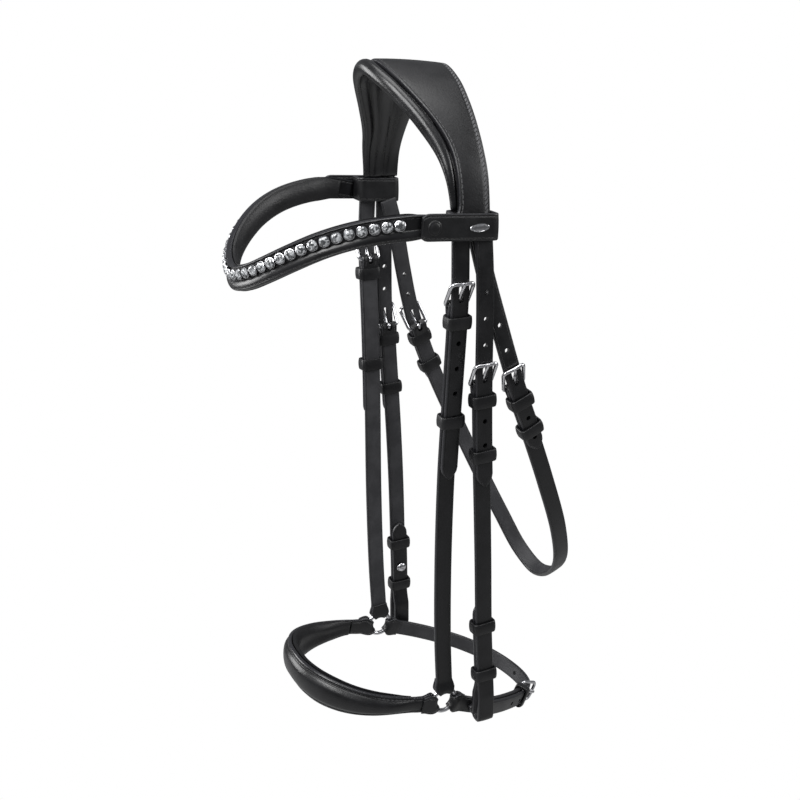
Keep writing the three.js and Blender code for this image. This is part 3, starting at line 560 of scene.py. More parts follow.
class Effects:
    """Shader node groups that more than one finish uses, each built once."""

    def __init__(self) -> None:
        """Builds the groups."""
        self.grain = self._grain()
        self.rubbing = self._rubbing()
        self.thread = self._thread()
        self.rim = self._rim()

    @staticmethod
    def _new(name: str, inputs: dict[str, float], outputs: Sequence[str]) -> bpy.types.NodeTree:
        """A node group with a Position input, number inputs and number outputs."""
        group = bpy.data.node_groups.new(name, "ShaderNodeTree")
        group.interface.new_socket(name="Position", in_out="INPUT", socket_type="NodeSocketVector")
        for label, value in inputs.items():
            socket = group.interface.new_socket(
                name=label, in_out="INPUT", socket_type="NodeSocketFloat")
            socket.default_value = value
        for label in outputs:
            group.interface.new_socket(name=label, in_out="OUTPUT", socket_type="NodeSocketFloat")
        return group

    def _grain(self) -> bpy.types.NodeTree:
        """Leather grain: pebbles with fine pores, and their height."""
        group = self._new("leather grain", {"Scale": 900.0}, ["Height"])
        g = Graph(group)
        ends_in, ends_out = g.node("NodeGroupInput"), g.node("NodeGroupOutput")
        pebble = g.node("ShaderNodeTexVoronoi", feature="SMOOTH_F1")
        pebble.inputs["Smoothness"].default_value = 0.6
        g.join(ends_in.outputs["Position"], pebble.inputs["Vector"])
        g.join(ends_in.outputs["Scale"], pebble.inputs["Scale"])
        pores = g.node("ShaderNodeTexNoise")
        pores.inputs["Detail"].default_value = 4
        g.join(ends_in.outputs["Position"], pores.inputs["Vector"])
        g.join(g.math("MULTIPLY", ends_in.outputs["Scale"], 2.3), pores.inputs["Scale"])
        high = g.math("MULTIPLY", pebble.outputs["Distance"], -0.8)
        low = g.math("MULTIPLY", pores.outputs["Fac"], 0.5)
        g.join(g.math("ADD", high, low), ends_out.inputs["Height"])
        return group

    def _rubbing(self) -> bpy.types.NodeTree:
        """Broad uneven rubbing from handling, from 0 to 1."""
        group = self._new("rubbing", {"Scale": 60.0}, ["Mask"])
        g = Graph(group)
        ends_in, ends_out = g.node("NodeGroupInput"), g.node("NodeGroupOutput")
        mottle = g.node("ShaderNodeTexNoise")
        mottle.inputs["Detail"].default_value = 5
        mottle.inputs["Roughness"].default_value = 0.62
        g.join(ends_in.outputs["Position"], mottle.inputs["Vector"])
        g.join(ends_in.outputs["Scale"], mottle.inputs["Scale"])
        g.join(g.between(mottle.outputs["Fac"], 0.35, 0.7), ends_out.inputs["Mask"])
        return group

    def _thread(self) -> bpy.types.NodeTree:
        """A row of stitches at an inset from the edge, as a mask and its rounded height."""
        inputs = {"Inset": 0.002, "Pitch": 0.003, "Width": 0.0007, "Slant": 0.0, "From": -1.0,
                  "To": 9.0}
        group = self._new("stitch row", inputs, ["Mask", "Height"])
        g = Graph(group)
        ends_in, ends_out = g.node("NodeGroupInput"), g.node("NodeGroupOutput")
        value = ends_in.outputs
        split = g.node("ShaderNodeSeparateXYZ")
        g.join(value["Position"], split.inputs["Vector"])
        aside = g.math("SUBTRACT", split.outputs["Y"], value["Inset"])
        leaned = g.math("ADD", split.outputs["X"], g.math("MULTIPLY", aside, value["Slant"]))
        step = g.math("FRACT", g.math("DIVIDE", leaned, value["Pitch"]))
        along = g.math("ABSOLUTE", g.math("SUBTRACT", step, 0.5))
        dash = g.between(along, 0.42, 0.3)
        spread = g.math("DIVIDE", g.math("ABSOLUTE", aside), value["Width"])
        line = g.between(spread, 0.62, 0.4)
        begun = g.math("GREATER_THAN", split.outputs["X"], value["From"])
        going = g.math("LESS_THAN", split.outputs["X"], value["To"])
        there = g.math("MULTIPLY", begun, going)
        mask = g.math("MULTIPLY", g.math("MULTIPLY", dash, line), there)
        ditch = g.math("MULTIPLY", g.between(spread, 1.1, 0.3), there)
        height = g.math("SUBTRACT", g.math("MULTIPLY", mask, 1.5), ditch)
        g.join(mask, ends_out.inputs["Mask"])
        g.join(height, ends_out.inputs["Height"])
        return group

    def _rim(self) -> bpy.types.NodeTree:
        """The band along a strap's edge, which the leather makes glossier and colours lighter as a
        painted highlight, and the creased line pressed beside it.
        """
        group = self._new("edge and crease", {"Edge": 0.0006, "Crease": 0.0015}, ["Edge", "Crease"])
        g = Graph(group)
        ends_in, ends_out = g.node("NodeGroupInput"), g.node("NodeGroupOutput")
        value = ends_in.outputs
        split = g.node("ShaderNodeSeparateXYZ")
        g.join(value["Position"], split.inputs["Vector"])
        inward = split.outputs["Y"]
        g.join(g.between(g.math("DIVIDE", inward, value["Edge"]), 1.4, 0.4), ends_out.inputs["Edge"])
        aside = g.math("ABSOLUTE", g.math("SUBTRACT", inward, value["Crease"]))
        g.join(g.between(aside, 0.00035, 0.0), ends_out.inputs["Crease"])
        return group


class Graph:
    """Short ways to add and join nodes in a tree."""

    def __init__(self, tree: bpy.types.NodeTree) -> None:
        """Starts on a tree."""
        self.tree = tree

    def node(self, kind: str, **settings: object) -> bpy.types.Node:
        """A new node with its properties set."""
        made = self.tree.nodes.new(kind)
        for name, value in settings.items():
            setattr(made, name, value)
        return made

    def join(self, source: object, target: bpy.types.NodeSocket) -> None:
        """Links an output to an input, or sets the input to a number or colour."""
        if isinstance(source, bpy.types.NodeSocket):
            self.tree.links.new(source, target)
        else:
            target.default_value = source

    def math(self, operation: str, first: object, second: object = 0.0) -> bpy.types.NodeSocket:
        """A Math node's result."""
        made = self.node("ShaderNodeMath", operation=operation)
        self.join(first, made.inputs[0])
        self.join(second, made.inputs[1])
        return made.outputs[0]

    def between(self, value: object, low: float, high: float) -> bpy.types.NodeSocket:
        """A smooth step from 0 at low to 1 at high; low may be the larger."""
        made = self.node("ShaderNodeMapRange", interpolation_type="SMOOTHSTEP")
        swapped = low > high
        self.join(value, made.inputs["Value"])
        made.inputs["From Min"].default_value = min(low, high)
        made.inputs["From Max"].default_value = max(low, high)
        made.inputs["To Min"].default_value = 1.0 if swapped else 0.0
        made.inputs["To Max"].default_value = 0.0 if swapped else 1.0
        return made.outputs["Result"]

    def mix(self, share: object, low: object, high: object) -> bpy.types.NodeSocket:
        """A colour mixed from low to high."""
        made = self.node("ShaderNodeMix", data_type="RGBA")
        self.join(share, made.inputs[0])
        self.join(low, made.inputs[6])
        self.join(high, made.inputs[7])
        return made.outputs[2]

    def use(self, group: bpy.types.NodeTree, position: object, **values: float) -> bpy.types.Node:
        """A shared effect placed in this tree with its own values."""
        made = self.node("ShaderNodeGroup", node_tree=group)
        self.join(position, made.inputs["Position"])
        for name, value in values.items():
            made.inputs[name].default_value = value
        return made


def shader(name: str) -> tuple[bpy.types.Material, Graph, bpy.types.Node]:
    """A new material, its graph and its Principled shader."""
    material = bpy.data.materials.new(name)
    material.use_nodes = True
    graph = Graph(material.node_tree)
    return material, graph, material.node_tree.nodes["Principled BSDF"]


@dataclass(frozen=True)
class Stitching:
    """A row of stitches: sizes in metres, the stretch along that it covers, and from which Y on."""

    inset: float = 0.0022
    pitch: float = 0.0034
    width: float = 0.0008
    slant: float = 0.0
    start: float = -1.0
    end: float = 9.0
    behind: float = -9.0


@dataclass(frozen=True)
class Leather:
    """Finished bridle leather: grain, a creased edge that is glossier from burnishing and lighter from a
    painted highlight, rubbing and stitches.
    """

    name: str
    color: tuple[float, float, float] = (0.0040, 0.0040, 0.0047)
    # lighter tone of rubbed leather (wear); 2.6 times it is the painted highlight along the edges
    rubbed_and_highlight: tuple[float, float, float] = (0.0085, 0.0085, 0.0098)
    thread: tuple[float, float, float] = (0.11, 0.11, 0.115)
    roughness: float = 0.36
    grain: float = 1100.0
    grain_depth: float = 0.00006
    coat: float = 0.12
    creased: bool = True
    rows: tuple[Stitching, ...] = ()

    def make(self, effects: Effects) -> bpy.types.Material:
        """Builds the material.

        Args:
            effects: the shared node groups.

        Returns:
            The leather material. Its edge, crease and stitches follow the piece's UV map.
        """
        material, g, bsdf = shader(self.name)
        place = g.node("ShaderNodeTexCoord")
        grain = g.use(effects.grain, place.outputs["Object"], Scale=self.grain)
        rubbed = g.use(effects.rubbing, place.outputs["Object"], Scale=70.0)
        color = g.mix(rubbed.outputs["Mask"], (*self.color, 1), (*self.rubbed_and_highlight, 1))
        height = g.math("MULTIPLY", grain.outputs["Height"], self.grain_depth)
        rough = g.math("MULTIPLY_ADD", rubbed.outputs["Mask"], 0.10)
        rough.node.inputs[2].default_value = self.roughness
        if self.creased:
            rim = g.use(effects.rim, place.outputs["UV"])
            # painted highlight: the edges are coloured lighter, as if lit; only the lower roughness
            # there comes from burnishing
            edge_highlight = (*[2.6 * c for c in self.rubbed_and_highlight], 1)
            color = g.mix(g.math("MULTIPLY", rim.outputs["Edge"], 0.8), color, edge_highlight)
            pressed = g.math("MULTIPLY", rim.outputs["Crease"], -0.00022)
            height = g.math("ADD", height, pressed)
            rough = g.math("SUBTRACT", rough, g.math("MULTIPLY", rim.outputs["Edge"], 0.08))
        split = g.node("ShaderNodeSeparateXYZ")
        g.join(place.outputs["Object"], split.inputs["Vector"])
        for row in self.rows:
            stitch = g.use(
                effects.thread, place.outputs["UV"], Inset=row.inset, Pitch=row.pitch,
                Width=row.width, Slant=row.slant, From=row.start, To=row.end)
            there = g.math("GREATER_THAN", split.outputs["Y"], row.behind)
            mask = g.math("MULTIPLY", stitch.outputs["Mask"], there)
            raised = g.math("MULTIPLY", stitch.outputs["Height"], there)
            color = g.mix(mask, color, (*self.thread, 1))
            height = g.math("ADD", height, g.math("MULTIPLY", raised, 0.00028))
            rough = g.math("ADD", rough, g.math("MULTIPLY", mask, 0.25))
        bump = g.node("ShaderNodeBump")
        bump.inputs["Distance"].default_value = 1.0
        g.join(height, bump.inputs["Height"])
        g.join(color, bsdf.inputs["Base Color"])
        g.join(rough, bsdf.inputs["Roughness"])
        g.join(bump.outputs["Normal"], bsdf.inputs["Normal"])
        bsdf.inputs["Coat Weight"].default_value = self.coat
        bsdf.inputs["Coat Roughness"].default_value = 0.22
        return material


@dataclass(frozen=True)
class Steel:
    """Polished steel with faint smudges and hairline scratches."""

    name: str = "polished steel"
    color: tuple[float, float, float] = (0.80, 0.80, 0.82)
    dull: tuple[float, float, float] = (0.62, 0.62, 0.64)
    roughness: float = 0.12

    def make(self, effects: Effects) -> bpy.types.Material:
        """Builds the material from the shared rubbing group and stretched noise."""
        material, g, bsdf = shader(self.name)
        place = g.node("ShaderNodeTexCoord")
        rubbed = g.use(effects.rubbing, place.outputs["Object"], Scale=350.0)
        hair = g.node("ShaderNodeMapping")
        hair.inputs["Scale"].default_value = (6000, 900, 500)
        hair.inputs["Rotation"].default_value = (0.3, 0.5, 0.2)
        g.join(place.outputs["Object"], hair.inputs["Vector"])
        lines = g.node("ShaderNodeTexNoise")
        lines.inputs["Scale"].default_value = 1.0
        g.join(hair.outputs["Vector"], lines.inputs["Vector"])
        bump = g.node("ShaderNodeBump")
        bump.inputs["Distance"].default_value = 0.000006
        g.join(lines.outputs["Fac"], bump.inputs["Height"])
        g.join(g.mix(rubbed.outputs["Mask"], (*self.color, 1), (*self.dull, 1)),
               bsdf.inputs["Base Color"])
        rough = g.math("MULTIPLY_ADD", rubbed.outputs["Mask"], 0.12)
        rough.node.inputs[2].default_value = self.roughness
        g.join(rough, bsdf.inputs["Roughness"])
        g.join(bump.outputs["Normal"], bsdf.inputs["Normal"])
        bsdf.inputs["Metallic"].default_value = 1.0
        return material


@dataclass(frozen=True)
class Crystal:
    """Clear cut crystal over a silvered back, which throws the light back out; the light and dark
    reflections of its facets are painted into its base colour.
    """

    name: str = "cut crystal"
    # painted reflections: the bright and the dark tone that the facet cells are coloured with
    color: tuple[float, float, float] = (0.78, 0.80, 0.82)
    mottle: tuple[float, float, float] = (0.09, 0.095, 0.10)

    def make(self, effects: Effects) -> bpy.types.Material:
        """Builds the material: bright and sharp, with painted reflections: cells smaller than a stone
        are coloured light or dark at random, as facets would mirror light or shade.
        """
        material, g, bsdf = shader(self.name)
        place = g.node("ShaderNodeTexCoord")
        # painted reflections: Voronoi cells about a millimetre wide, each coloured between the bright
        # and the dark tone
        glints = g.node("ShaderNodeTexVoronoi")
        glints.inputs["Scale"].default_value = 800.0
        g.join(place.outputs["Object"], glints.inputs["Vector"])
        shade = g.node("ShaderNodeSeparateColor")
        g.join(glints.outputs["Color"], shade.inputs["Color"])
        share = g.between(shade.outputs["Red"], 0.15, 0.8)
        g.join(g.mix(share, (*self.color, 1), (*self.mottle, 1)), bsdf.inputs["Base Color"])
        rubbed = g.use(effects.rubbing, place.outputs["Object"], Scale=400.0)
        rough = g.math("MULTIPLY_ADD", rubbed.outputs["Mask"], 0.05)
        rough.node.inputs[2].default_value = 0.03
        g.join(rough, bsdf.inputs["Roughness"])
        bump = g.node("ShaderNodeBump")
        bump.inputs["Distance"].default_value = 0.0002
        g.join(shade.outputs["Green"], bump.inputs["Height"])
        g.join(bump.outputs["Normal"], bsdf.inputs["Normal"])
        bsdf.inputs["Metallic"].default_value = 0.0
        bsdf.inputs["Transmission Weight"].default_value = 0.25
        bsdf.inputs["IOR"].default_value = 1.7
        bsdf.inputs["Coat Weight"].default_value = 1.0
        bsdf.inputs["Coat Roughness"].default_value = 0.02
        return material


@dataclass
class Finishes:
    """Every finish of the bridle, built once."""

    effects: Effects = field(default_factory=Effects)

    def __post_init__(self) -> None:
        """Makes the materials."""
        ends = (Stitching(inset=0.0021, width=0.0006, start=0.004, end=0.030),)
        fine = (Stitching(inset=0.0018, pitch=0.0030, width=0.0005),)
        crown = (
            Stitching(inset=0.0030, pitch=0.0027, width=0.0019, slant=-0.9, behind=0.012),
            Stitching(inset=0.0019, pitch=0.0030, width=0.0004),
        )
        dim = (0.035, 0.035, 0.037)

        def make(finish: Union[Leather, Steel, Crystal]) -> bpy.types.Material:
            """One finish's material."""
            return finish.make(self.effects)

        self.strap = make(Leather("strap leather"))
        self.chape = make(Leather("strap leather with stitched end", rows=ends, thread=dim))
        self.loop = make(Leather("loop leather", roughness=0.40, rows=fine, thread=dim))
        self.band = make(Leather("band leather", roughness=0.30, rows=fine, coat=0.2, thread=dim))
        self.crown = make(Leather("crown leather", roughness=0.42, rows=crown, grain=800.0,
                                  grain_depth=0.00009))
        self.flesh = make(Leather("inner side leather", color=(0.030, 0.030, 0.033), roughness=0.55,
                                  rubbed_and_highlight=(0.048, 0.048, 0.052), coat=0.0, grain=1500.0,
                                  grain_depth=0.00004))
        self.keeper = make(Leather("keeper leather", roughness=0.38, creased=False))
        self.roll = make(Leather("rolled edge leather", roughness=0.27, coat=0.3, creased=False,
                                 grain=1000.0))
        self.lining = make(Leather("lining leather", roughness=0.45, coat=0.05, creased=False,
                                   grain=700.0, grain_depth=0.00012))
        self.steel = make(Steel())
        self.crystal = make(Crystal())


# ------------------------------------------------------------------ the bench


@dataclass
class Bench:
    """Puts finished pieces on their bodies in place of their solids."""

    finishes: Finishes
    count: int = 0

    def settle(self, obj: bpy.types.Object, body: str, slot: Slot, *nodes: str) -> bpy.types.Object:
        """Gives a piece its body and hides the solids that it stands for.

        Args:
            obj: the finished piece.
            body: the body that it moves with.
            slot: its material slot in the record; not used.
            nodes: the solids that it replaces.

        Returns:
            The piece.
        """
        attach(obj, body)
        if nodes:
            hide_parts(*nodes)
        self.count += 1
        return obj

    def bend(self, obj: bpy.types.Object, bodies: tuple[str, str], heights: tuple[float, float],
             slot: Slot, *nodes: str) -> bpy.types.Object:
        """Bakes a strap's placement into its mesh, hides the solids that it replaces and counts it."""
        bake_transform(obj)
        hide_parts(*nodes)
        self.count += 1
        return obj


def cut_out(obj: bpy.types.Object, cutters: Sequence[Surface]) -> bpy.types.Object:
    """Cuts surfaces out of a piece and keeps the result as its mesh.

    Args:
        obj: the piece.
        cutters: closed surfaces to take away.

    Returns:
        The piece.
    """
    tool = cutters[0].joined(*cutters[1:]).build("cutter", obj.data.materials[0])
    modifier = obj.modifiers.new("cut", "BOOLEAN")
    modifier.operation = "DIFFERENCE"
    modifier.solver = "EXACT"
    modifier.object = tool
    graph = bpy.context.evaluated_depsgraph_get()
    cut = bpy.data.meshes.new_from_object(obj.evaluated_get(graph))
    obj.modifiers.clear()
    obj.data = cut
    cut.set_sharp_from_angle(angle=math.radians(40))
    bpy.data.objects.remove(tool)
    return obj


BAR_SLIT = (3.6, 9.0, 7.5)  # across, out and along


def drilled(route: Route, distances: Sequence[float]) -> list[Surface]:
    """Round cutters for punched holes, standing through a strap at distances along it."""
    deep, radius = 3 * SIZES.strap_thickness, SIZES.hole_radius
    rod = turned([(0, -deep), (radius, -deep), (radius, deep), (0, deep)], 16)
    moved = []
    for distance in distances:
        moved.append(Surface(route.placed(rod.corners, distance), rod.quads, rod.tris, rod.uv))
    return moved


def slit(route: Route, distance: float, size: tuple[float, float, float], out: float) -> Surface:
    """A round-cornered cutter of a size (across, out, along), set down on a route."""
    across, deep, along = size
    loop = rounded_loop(across, along, min(across, along) * 0.45)
    low = np.insert(loop, 1, -deep / 2, axis=1)
    high = np.insert(loop, 1, deep / 2, axis=1)
    count = len(loop)
    corners = np.vstack([low, high, [[0, -deep / 2, 0], [0, deep / 2, 0]]])
    j = np.arange(count)
    beside = (j + 1) % count
    quads = np.stack([j, beside, count + beside, count + j], -1)
    tris = np.vstack([
        np.stack([np.full(count, 2 * count), beside, j], -1),
        np.stack([np.full(count, 2 * count + 1), count + j, count + beside], -1),
    ])
    placed = route.placed(corners, distance, out)
    return Surface(placed, quads, tris, corners[:, [0, 2]] * MM).outwards()


def bar_slit(route: Route, heel: float) -> Surface:
    """The slit that lets a buckle's tongue out of the leather folded round its heel bar."""
    return slit(route, heel - 0.6, BAR_SLIT, -SIZES.bar_depth)


def tongue_slot(route: Route, heel: float) -> Surface:
    """The long hole in a billet where the tongue passes, set from the buckle's heel bar."""
    size = (SIZES.tongue_width + 0.9, 3 * SIZES.strap_thickness, 10.5)
    return slit(route, heel - SIZES.bar_depth / math.tan(SIZES.frame_lean) + 1.5, size, 0.0)


# ------------------------------------------------------------------ straps, buckles and keepers


def tip_half(distance: np.ndarray, half: float, tip: float) -> np.ndarray:
    """Half width of a strap whose end is a rounded point: a quarter sine over the last stretch."""
    left = np.clip((tip - distance) / (half * 1.5), 0, 1)
    return half * np.maximum(0.1, np.sin(left * np.pi / 2) ** 0.75)


def round_ends(distance: np.ndarray, start: float, end: float, radius: float) -> np.ndarray:
    """Scale of the thickness that rounds both cut ends: a quarter circle over the radius."""
    inset = np.clip(np.minimum(distance - start, end - distance) / radius, 0, 1)
    return np.sqrt(np.clip(1 - (1 - inset) ** 2, 0.04, 1))


def stations(start: float, end: float, step: float = 2.5, radius: float = 1.2) -> np.ndarray:
    """Even stations from start to end, with more of them where the ends are rounded."""
    even = np.linspace(start + radius, end - radius, max(2, int((end - start) / step)))
    close = radius * (1 - np.cos(np.linspace(0, np.pi / 2, 5)[:-1]))
    return np.concatenate([start + close, even, (end - close)[::-1]])


@dataclass
class Billet:
    """A punched strap that passes through a buckle and ends in a rounded point."""

    route: Route
    buckle_at: float
    tip_at: float
    holes: tuple[int, ...]
    start: float = 0.0
    pitch: float = SIZES.hole_pitch

    def surface(self) -> Surface:
        """The strap itself, carried along the route."""
        distance = stations(self.start, self.tip_at, radius=0.9)
        half = tip_half(distance, SIZES.billet_width / 2, self.tip_at)
        thick = round_ends(distance, self.start, self.tip_at, 0.9)
        section = Section.strap(SIZES.strap_thickness)
        return carried(self.route, distance, section, -half, half, 0.0, thick)

    def build(self, name: str, finishes: Finishes) -> bpy.types.Object:
        """The punched billet as an object."""
        obj = self.surface().build(name, finishes.strap, inside=finishes.flesh)
        first = self.buckle_at + SIZES.first_hole
        places = [first + step * self.pitch for step in self.holes]
        return cut_out(obj, [*drilled(self.route, places), tongue_slot(self.route, self.buckle_at)])


@dataclass
class Wrap:
    """The end of a strap, folded round a bar or a ring's wire and stitched back on itself.

    along is measured from the bar towards the strap, and rise out of the line's face.
    """

    bar_rise: float
    strap_rise: float
    radius: float
    back: float = 8.0
    settle: float = 9.0

    def path(self) -> tuple[np.ndarray, np.ndarray]:
        """The fold's middle line: back along the strap's underside, round the bar, on to the strap.

        Returns:
            Distances along and rises, from the fold's cut end to where the strap runs straight.
        """
        under = np.linspace(self.back, 0.3, 8)
        meets = self.strap_rise - SIZES.strap_thickness / 2 - SIZES.chape_wall / 2 - 0.1
        low = self.bar_rise - self.radius
        under_rise = low + (meets - low) * ease(under, 0, self.back)
        angle = np.linspace(-np.pi / 2, -1.5 * np.pi, 14)
        bend = self.radius * np.cos(angle)
        bend_rise = self.bar_rise + self.radius * np.sin(angle)
        over = np.linspace(0.5, self.settle, 10)
        high = self.bar_rise + self.radius
        over_rise = high + (self.strap_rise - high) * ease(over, 0, self.settle)
        return np.concatenate([under, bend, over]), np.concatenate([under_rise, bend_rise, over_rise])


def strap_route(line: Route, start: Optional[Wrap], start_at: float, end: Optional[Wrap],
                end_at: float, rise: float) -> Route:
    """The middle line of a strap laid at a rise from a line, with either end folded round a bar.

    Args:
        line: the line that the strap follows.
        start: the fold at the start, or None.
        start_at: distance along the line of the start's bar, or of the cut end.
        end: the fold at the far end, or None.
        end_at: distance along the line of the far bar, or of the cut end.
        rise: the strap's middle, out of the line's face.

    Returns:
        The strap's own route, folds included.
    """
    along, out = [], []
    low, high = start_at, end_at
    if start:
        s, y = start.path()
        along.append(start_at + s)
        out.append(y)
        low = start_at + start.settle + 0.5
    if end:
        high = end_at - end.settle - 0.5
    middle = np.linspace(low, high, int((high - low) / 1.2) + 2)
    along.append(middle)
    out.append(np.full(len(middle), rise))
    if end:
        s, y = end.path()
        along.append((end_at - s)[::-1])
        out.append(y[::-1])
    return Route(line.shifted(np.concatenate(along), np.concatenate(out)), line.across)


def strap_body(route: Route, half: float, thin: tuple[float, float], neck: tuple[float, float],
               step: float = 2.2) -> Surface:
    """A strap carried along its own route, thin and narrow where its ends are folded.

    Args:
        route: the strap's middle line.
        half: half of its full width.
        thin: length of thin leather at the start and at the end.
        neck: half width at the start and at the end.
        step: spacing of the stations.

    Returns:
        The closed strap.
    """
    distance = stations(0.0, route.length, step, 0.7)
    fold = np.sort(np.concatenate([distance, np.arange(0.9, thin[0], 0.8),
                                   route.length - np.arange(0.9, thin[1], 0.8)]))
    thinned = SIZES.skived
    from_end = route.length - fold
    thick = np.ones(len(fold))
    if thin[0]:
        thick = thick * (thinned + (1 - thinned) * ease(fold, thin[0] - 4, thin[0] + 6))
    if thin[1]:
        thick = thick * (thinned + (1 - thinned) * ease(from_end, thin[1] - 4, thin[1] + 6))
    thick = thick * round_ends(fold, 0.0, route.length, 0.7)
    wide = neck[0] + (half - neck[0]) * ease(fold, thin[0] - 3, thin[0] + 6)
    wide = np.minimum(wide, neck[1] + (half - neck[1]) * ease(from_end, thin[1] - 3, thin[1] + 6))
    return carried(route, fold, Section.strap(SIZES.strap_thickness), -wide, wide, 0.0, thick)


def fanned(surface: Surface, side: Side, towards: Sequence[float]) -> Surface:
    """Shapes a strap's folded end to the ring that it holds.

    Near the ring a corner's sideways place becomes an angle round the ring, so that the fold fans
    out: place = centre + r (cos a towards + sin a sideways), where a = sideways / ring radius.

    Args:
        surface: the strap, with a straight fold.
        side: which ring.
        towards: direction from the ring's centre to the strap.

    Returns:
        The surface with its folded end fanned.
    """
    centre = SIZES.ring_centre(side)
    out = np.asarray(towards, float) / np.linalg.norm(towards)
    aside = np.cross([1.0, 0.0, 0.0], out)
    rel = surface.corners - centre
    reach, wide = rel @ out, rel @ aside
    near = np.linalg.norm(rel, axis=1) < 30
    weight = ease(reach, SIZES.ring_radius + 8, SIZES.ring_radius + 1.5) * near
    angle = wide / SIZES.ring_radius
    flat = reach[:, None] * out + wide[:, None] * aside
    fan = (reach * np.cos(angle))[:, None] * out + (reach * np.sin(angle))[:, None] * aside
    corners = surface.corners + weight[:, None] * (fan - flat)
    return replace(surface, corners=corners)


BAR_WRAP = Wrap(
    bar_rise=-SIZES.bar_depth,
    strap_rise=-SIZES.layer,
    radius=SIZES.wire_radius + SIZES.clearance + SIZES.chape_wall / 2,
)


RING_NECK = 5.8  # half width of the leather where it is folded round a ring


def ring_wrap(rise: float) -> Wrap:
    """The fold round a noseband ring's wire, for a strap laid at a rise from its line."""
    radius = SIZES.ring_wire + SIZES.clearance + SIZES.chape_wall / 2
    return Wrap(bar_rise=rise, strap_rise=rise, radius=radius, back=9.0, settle=7.0)


def bar_to_ring(route: Route, at: float) -> Surface:
    """A strap under a billet, folded round a buckle's bar and round the ring at the route's end."""
    way = strap_route(route, BAR_WRAP, at, ring_wrap(-SIZES.layer), route.length + SIZES.eye_gap,
                      -SIZES.layer)
    neck = (SIZES.billet_width / 2, RING_NECK)
    return strap_body(way, SIZES.strap_width / 2, (9.0, 18.0), neck)


@dataclass
class Buckle:
    """A frame of polished wire whose heel bar lies under the billet, and its tongue."""

    route: Route
    at: float
    width: float = SIZES.strap_width

    def _wire(self, points: np.ndarray, across: np.ndarray, radius: float) -> Surface:
        """A closed round wire through points given as (across, out, along) at the buckle."""
        route = Route(self.route.placed(points, self.at), across, True)
        distance = np.linspace(0, route.length, int(route.length / 0.7), endpoint=False)
        return carried(route, distance, Section.round(radius), 0.0, 0.0)

    def _leaning(self, points: np.ndarray, lean: float) -> np.ndarray:
        """Points (across, out, along) round the heel bar, turned up by the lean."""
        x, y, z = points.T
        up, back = y * math.cos(lean) - z * math.sin(lean), y * math.sin(lean) + z * math.cos(lean)
        return np.stack([x, up - SIZES.bar_depth, back], -1)

    def frame(self) -> Surface:
        """The frame: a round-cornered rectangle of wire, whose upper bar is bowed outwards."""
        half = self.width / 2 + SIZES.clearance + SIZES.wire_radius
        length = SIZES.frame_length
        loop = rounded_loop(2 * half, length, 2.4, 0.5)
        flat = np.stack([loop[:, 0], 0 * loop[:, 0], loop[:, 1] - length / 2], -1)
        upper = ease(-flat[:, 2], length * 0.8, length)
        flat[:, 1] += 0.5 * upper * (1 - (flat[:, 0] / half) ** 2)
        _, _, face, _ = self.route.stand(np.array(self.at))
        return self._wire(self._leaning(flat, SIZES.frame_lean), face, SIZES.wire_radius * 1.08)

    def tongue(self) -> Surface:
        """The tongue: an eye round the heel bar, and a tapering blade laid over the upper bar."""
        wire, reach = SIZES.wire_radius, SIZES.frame_length
        rest = (wire + SIZES.clearance + 0.75) / reach
        lean = SIZES.frame_lean + math.asin(rest)
        eye = wire + 0.25 + 0.55
        turn = np.radians(np.linspace(-170, 80, 18))
        curl = np.stack([0 * turn, eye * np.sin(turn), eye * np.cos(turn)], -1)
        run = np.linspace(1.0, reach + 1.9, 18)
        lift = eye * ease(run, reach * 0.75, 0.0)
        drop = -1.3 * ease(run, reach + 0.2, reach + 2.4)
        blade = np.stack([0 * run, lift + drop, -run], -1)
        points = self._leaning(np.vstack([curl, blade]), lean)
        _, across, _, _ = self.route.stand(np.array(self.at))
        route = Route(self.route.placed(points, self.at), across)
        distance = stations(0.0, route.length, 0.7, 0.5)
        share = distance / route.length
        half = 1.2 - 0.3 * ease(share, 0.45, 1.0)
        thick = (1.35 - 0.25 * ease(share, 0.5, 1.0)) * round_ends(distance, 0, route.length, 0.5)
        angle = np.linspace(0, 2 * np.pi, 14, endpoint=False)
        section = Section(np.cos(angle), 0 * angle, 0.55 * np.sin(angle))
        return carried(route, distance, section, -half, half, 0.0, thick)

    def build(self, bench: Bench, prefix: str, body: str, tongue_body: str) -> None:
        """Adds the frame and the tongue in place of their solids."""
        steel = bench.finishes.steel
        frame = self.frame().build(f"{prefix}_buckle_frame", steel)
        bench.settle(frame, body, Slot.STEEL, f"{prefix}_buckle")
        tongue = self.tongue().build(f"{prefix}_buckle_tongue", steel)
        bench.settle(tongue, tongue_body, Slot.STEEL, f"{prefix}_tongue")


@dataclass
class Keeper:
    """A leather loop round stacked straps."""

    route: Route
    at: float
    low: float = -SIZES.layer - SIZES.strap_thickness / 2
    high: float = SIZES.strap_thickness / 2

    def surface(self) -> Surface:
        """The loop: a crowned strip carried round a rounded rectangle."""
        wall = SIZES.keeper_wall
        width = SIZES.strap_width + 2 * (SIZES.clearance + 0.2) + wall
        height = self.high - self.low + 2 * SIZES.clearance + wall
        loop = rounded_loop(width, height, 1.9, 0.7)
        middle = (self.high + self.low) / 2
        points = np.stack([loop[:, 0], loop[:, 1] + middle, 0 * loop[:, 0]], -1)
        _, _, _, along = self.route.stand(np.array(self.at))
        route = Route(self.route.placed(points, self.at), along, True)
        distance = np.linspace(0, route.length, 72, endpoint=False)
        half = SIZES.keeper_height / 2
        return carried(route, distance, Section.strap(wall, crown=0.35), -half, half)

    def build(self, bench: Bench, node: str, body: str) -> None:
        """Adds the loop in place of its solid."""
        obj = self.surface().build(f"{node}_loop", bench.finishes.keeper)
        bench.settle(obj, body, Slot.LEATHER, node)


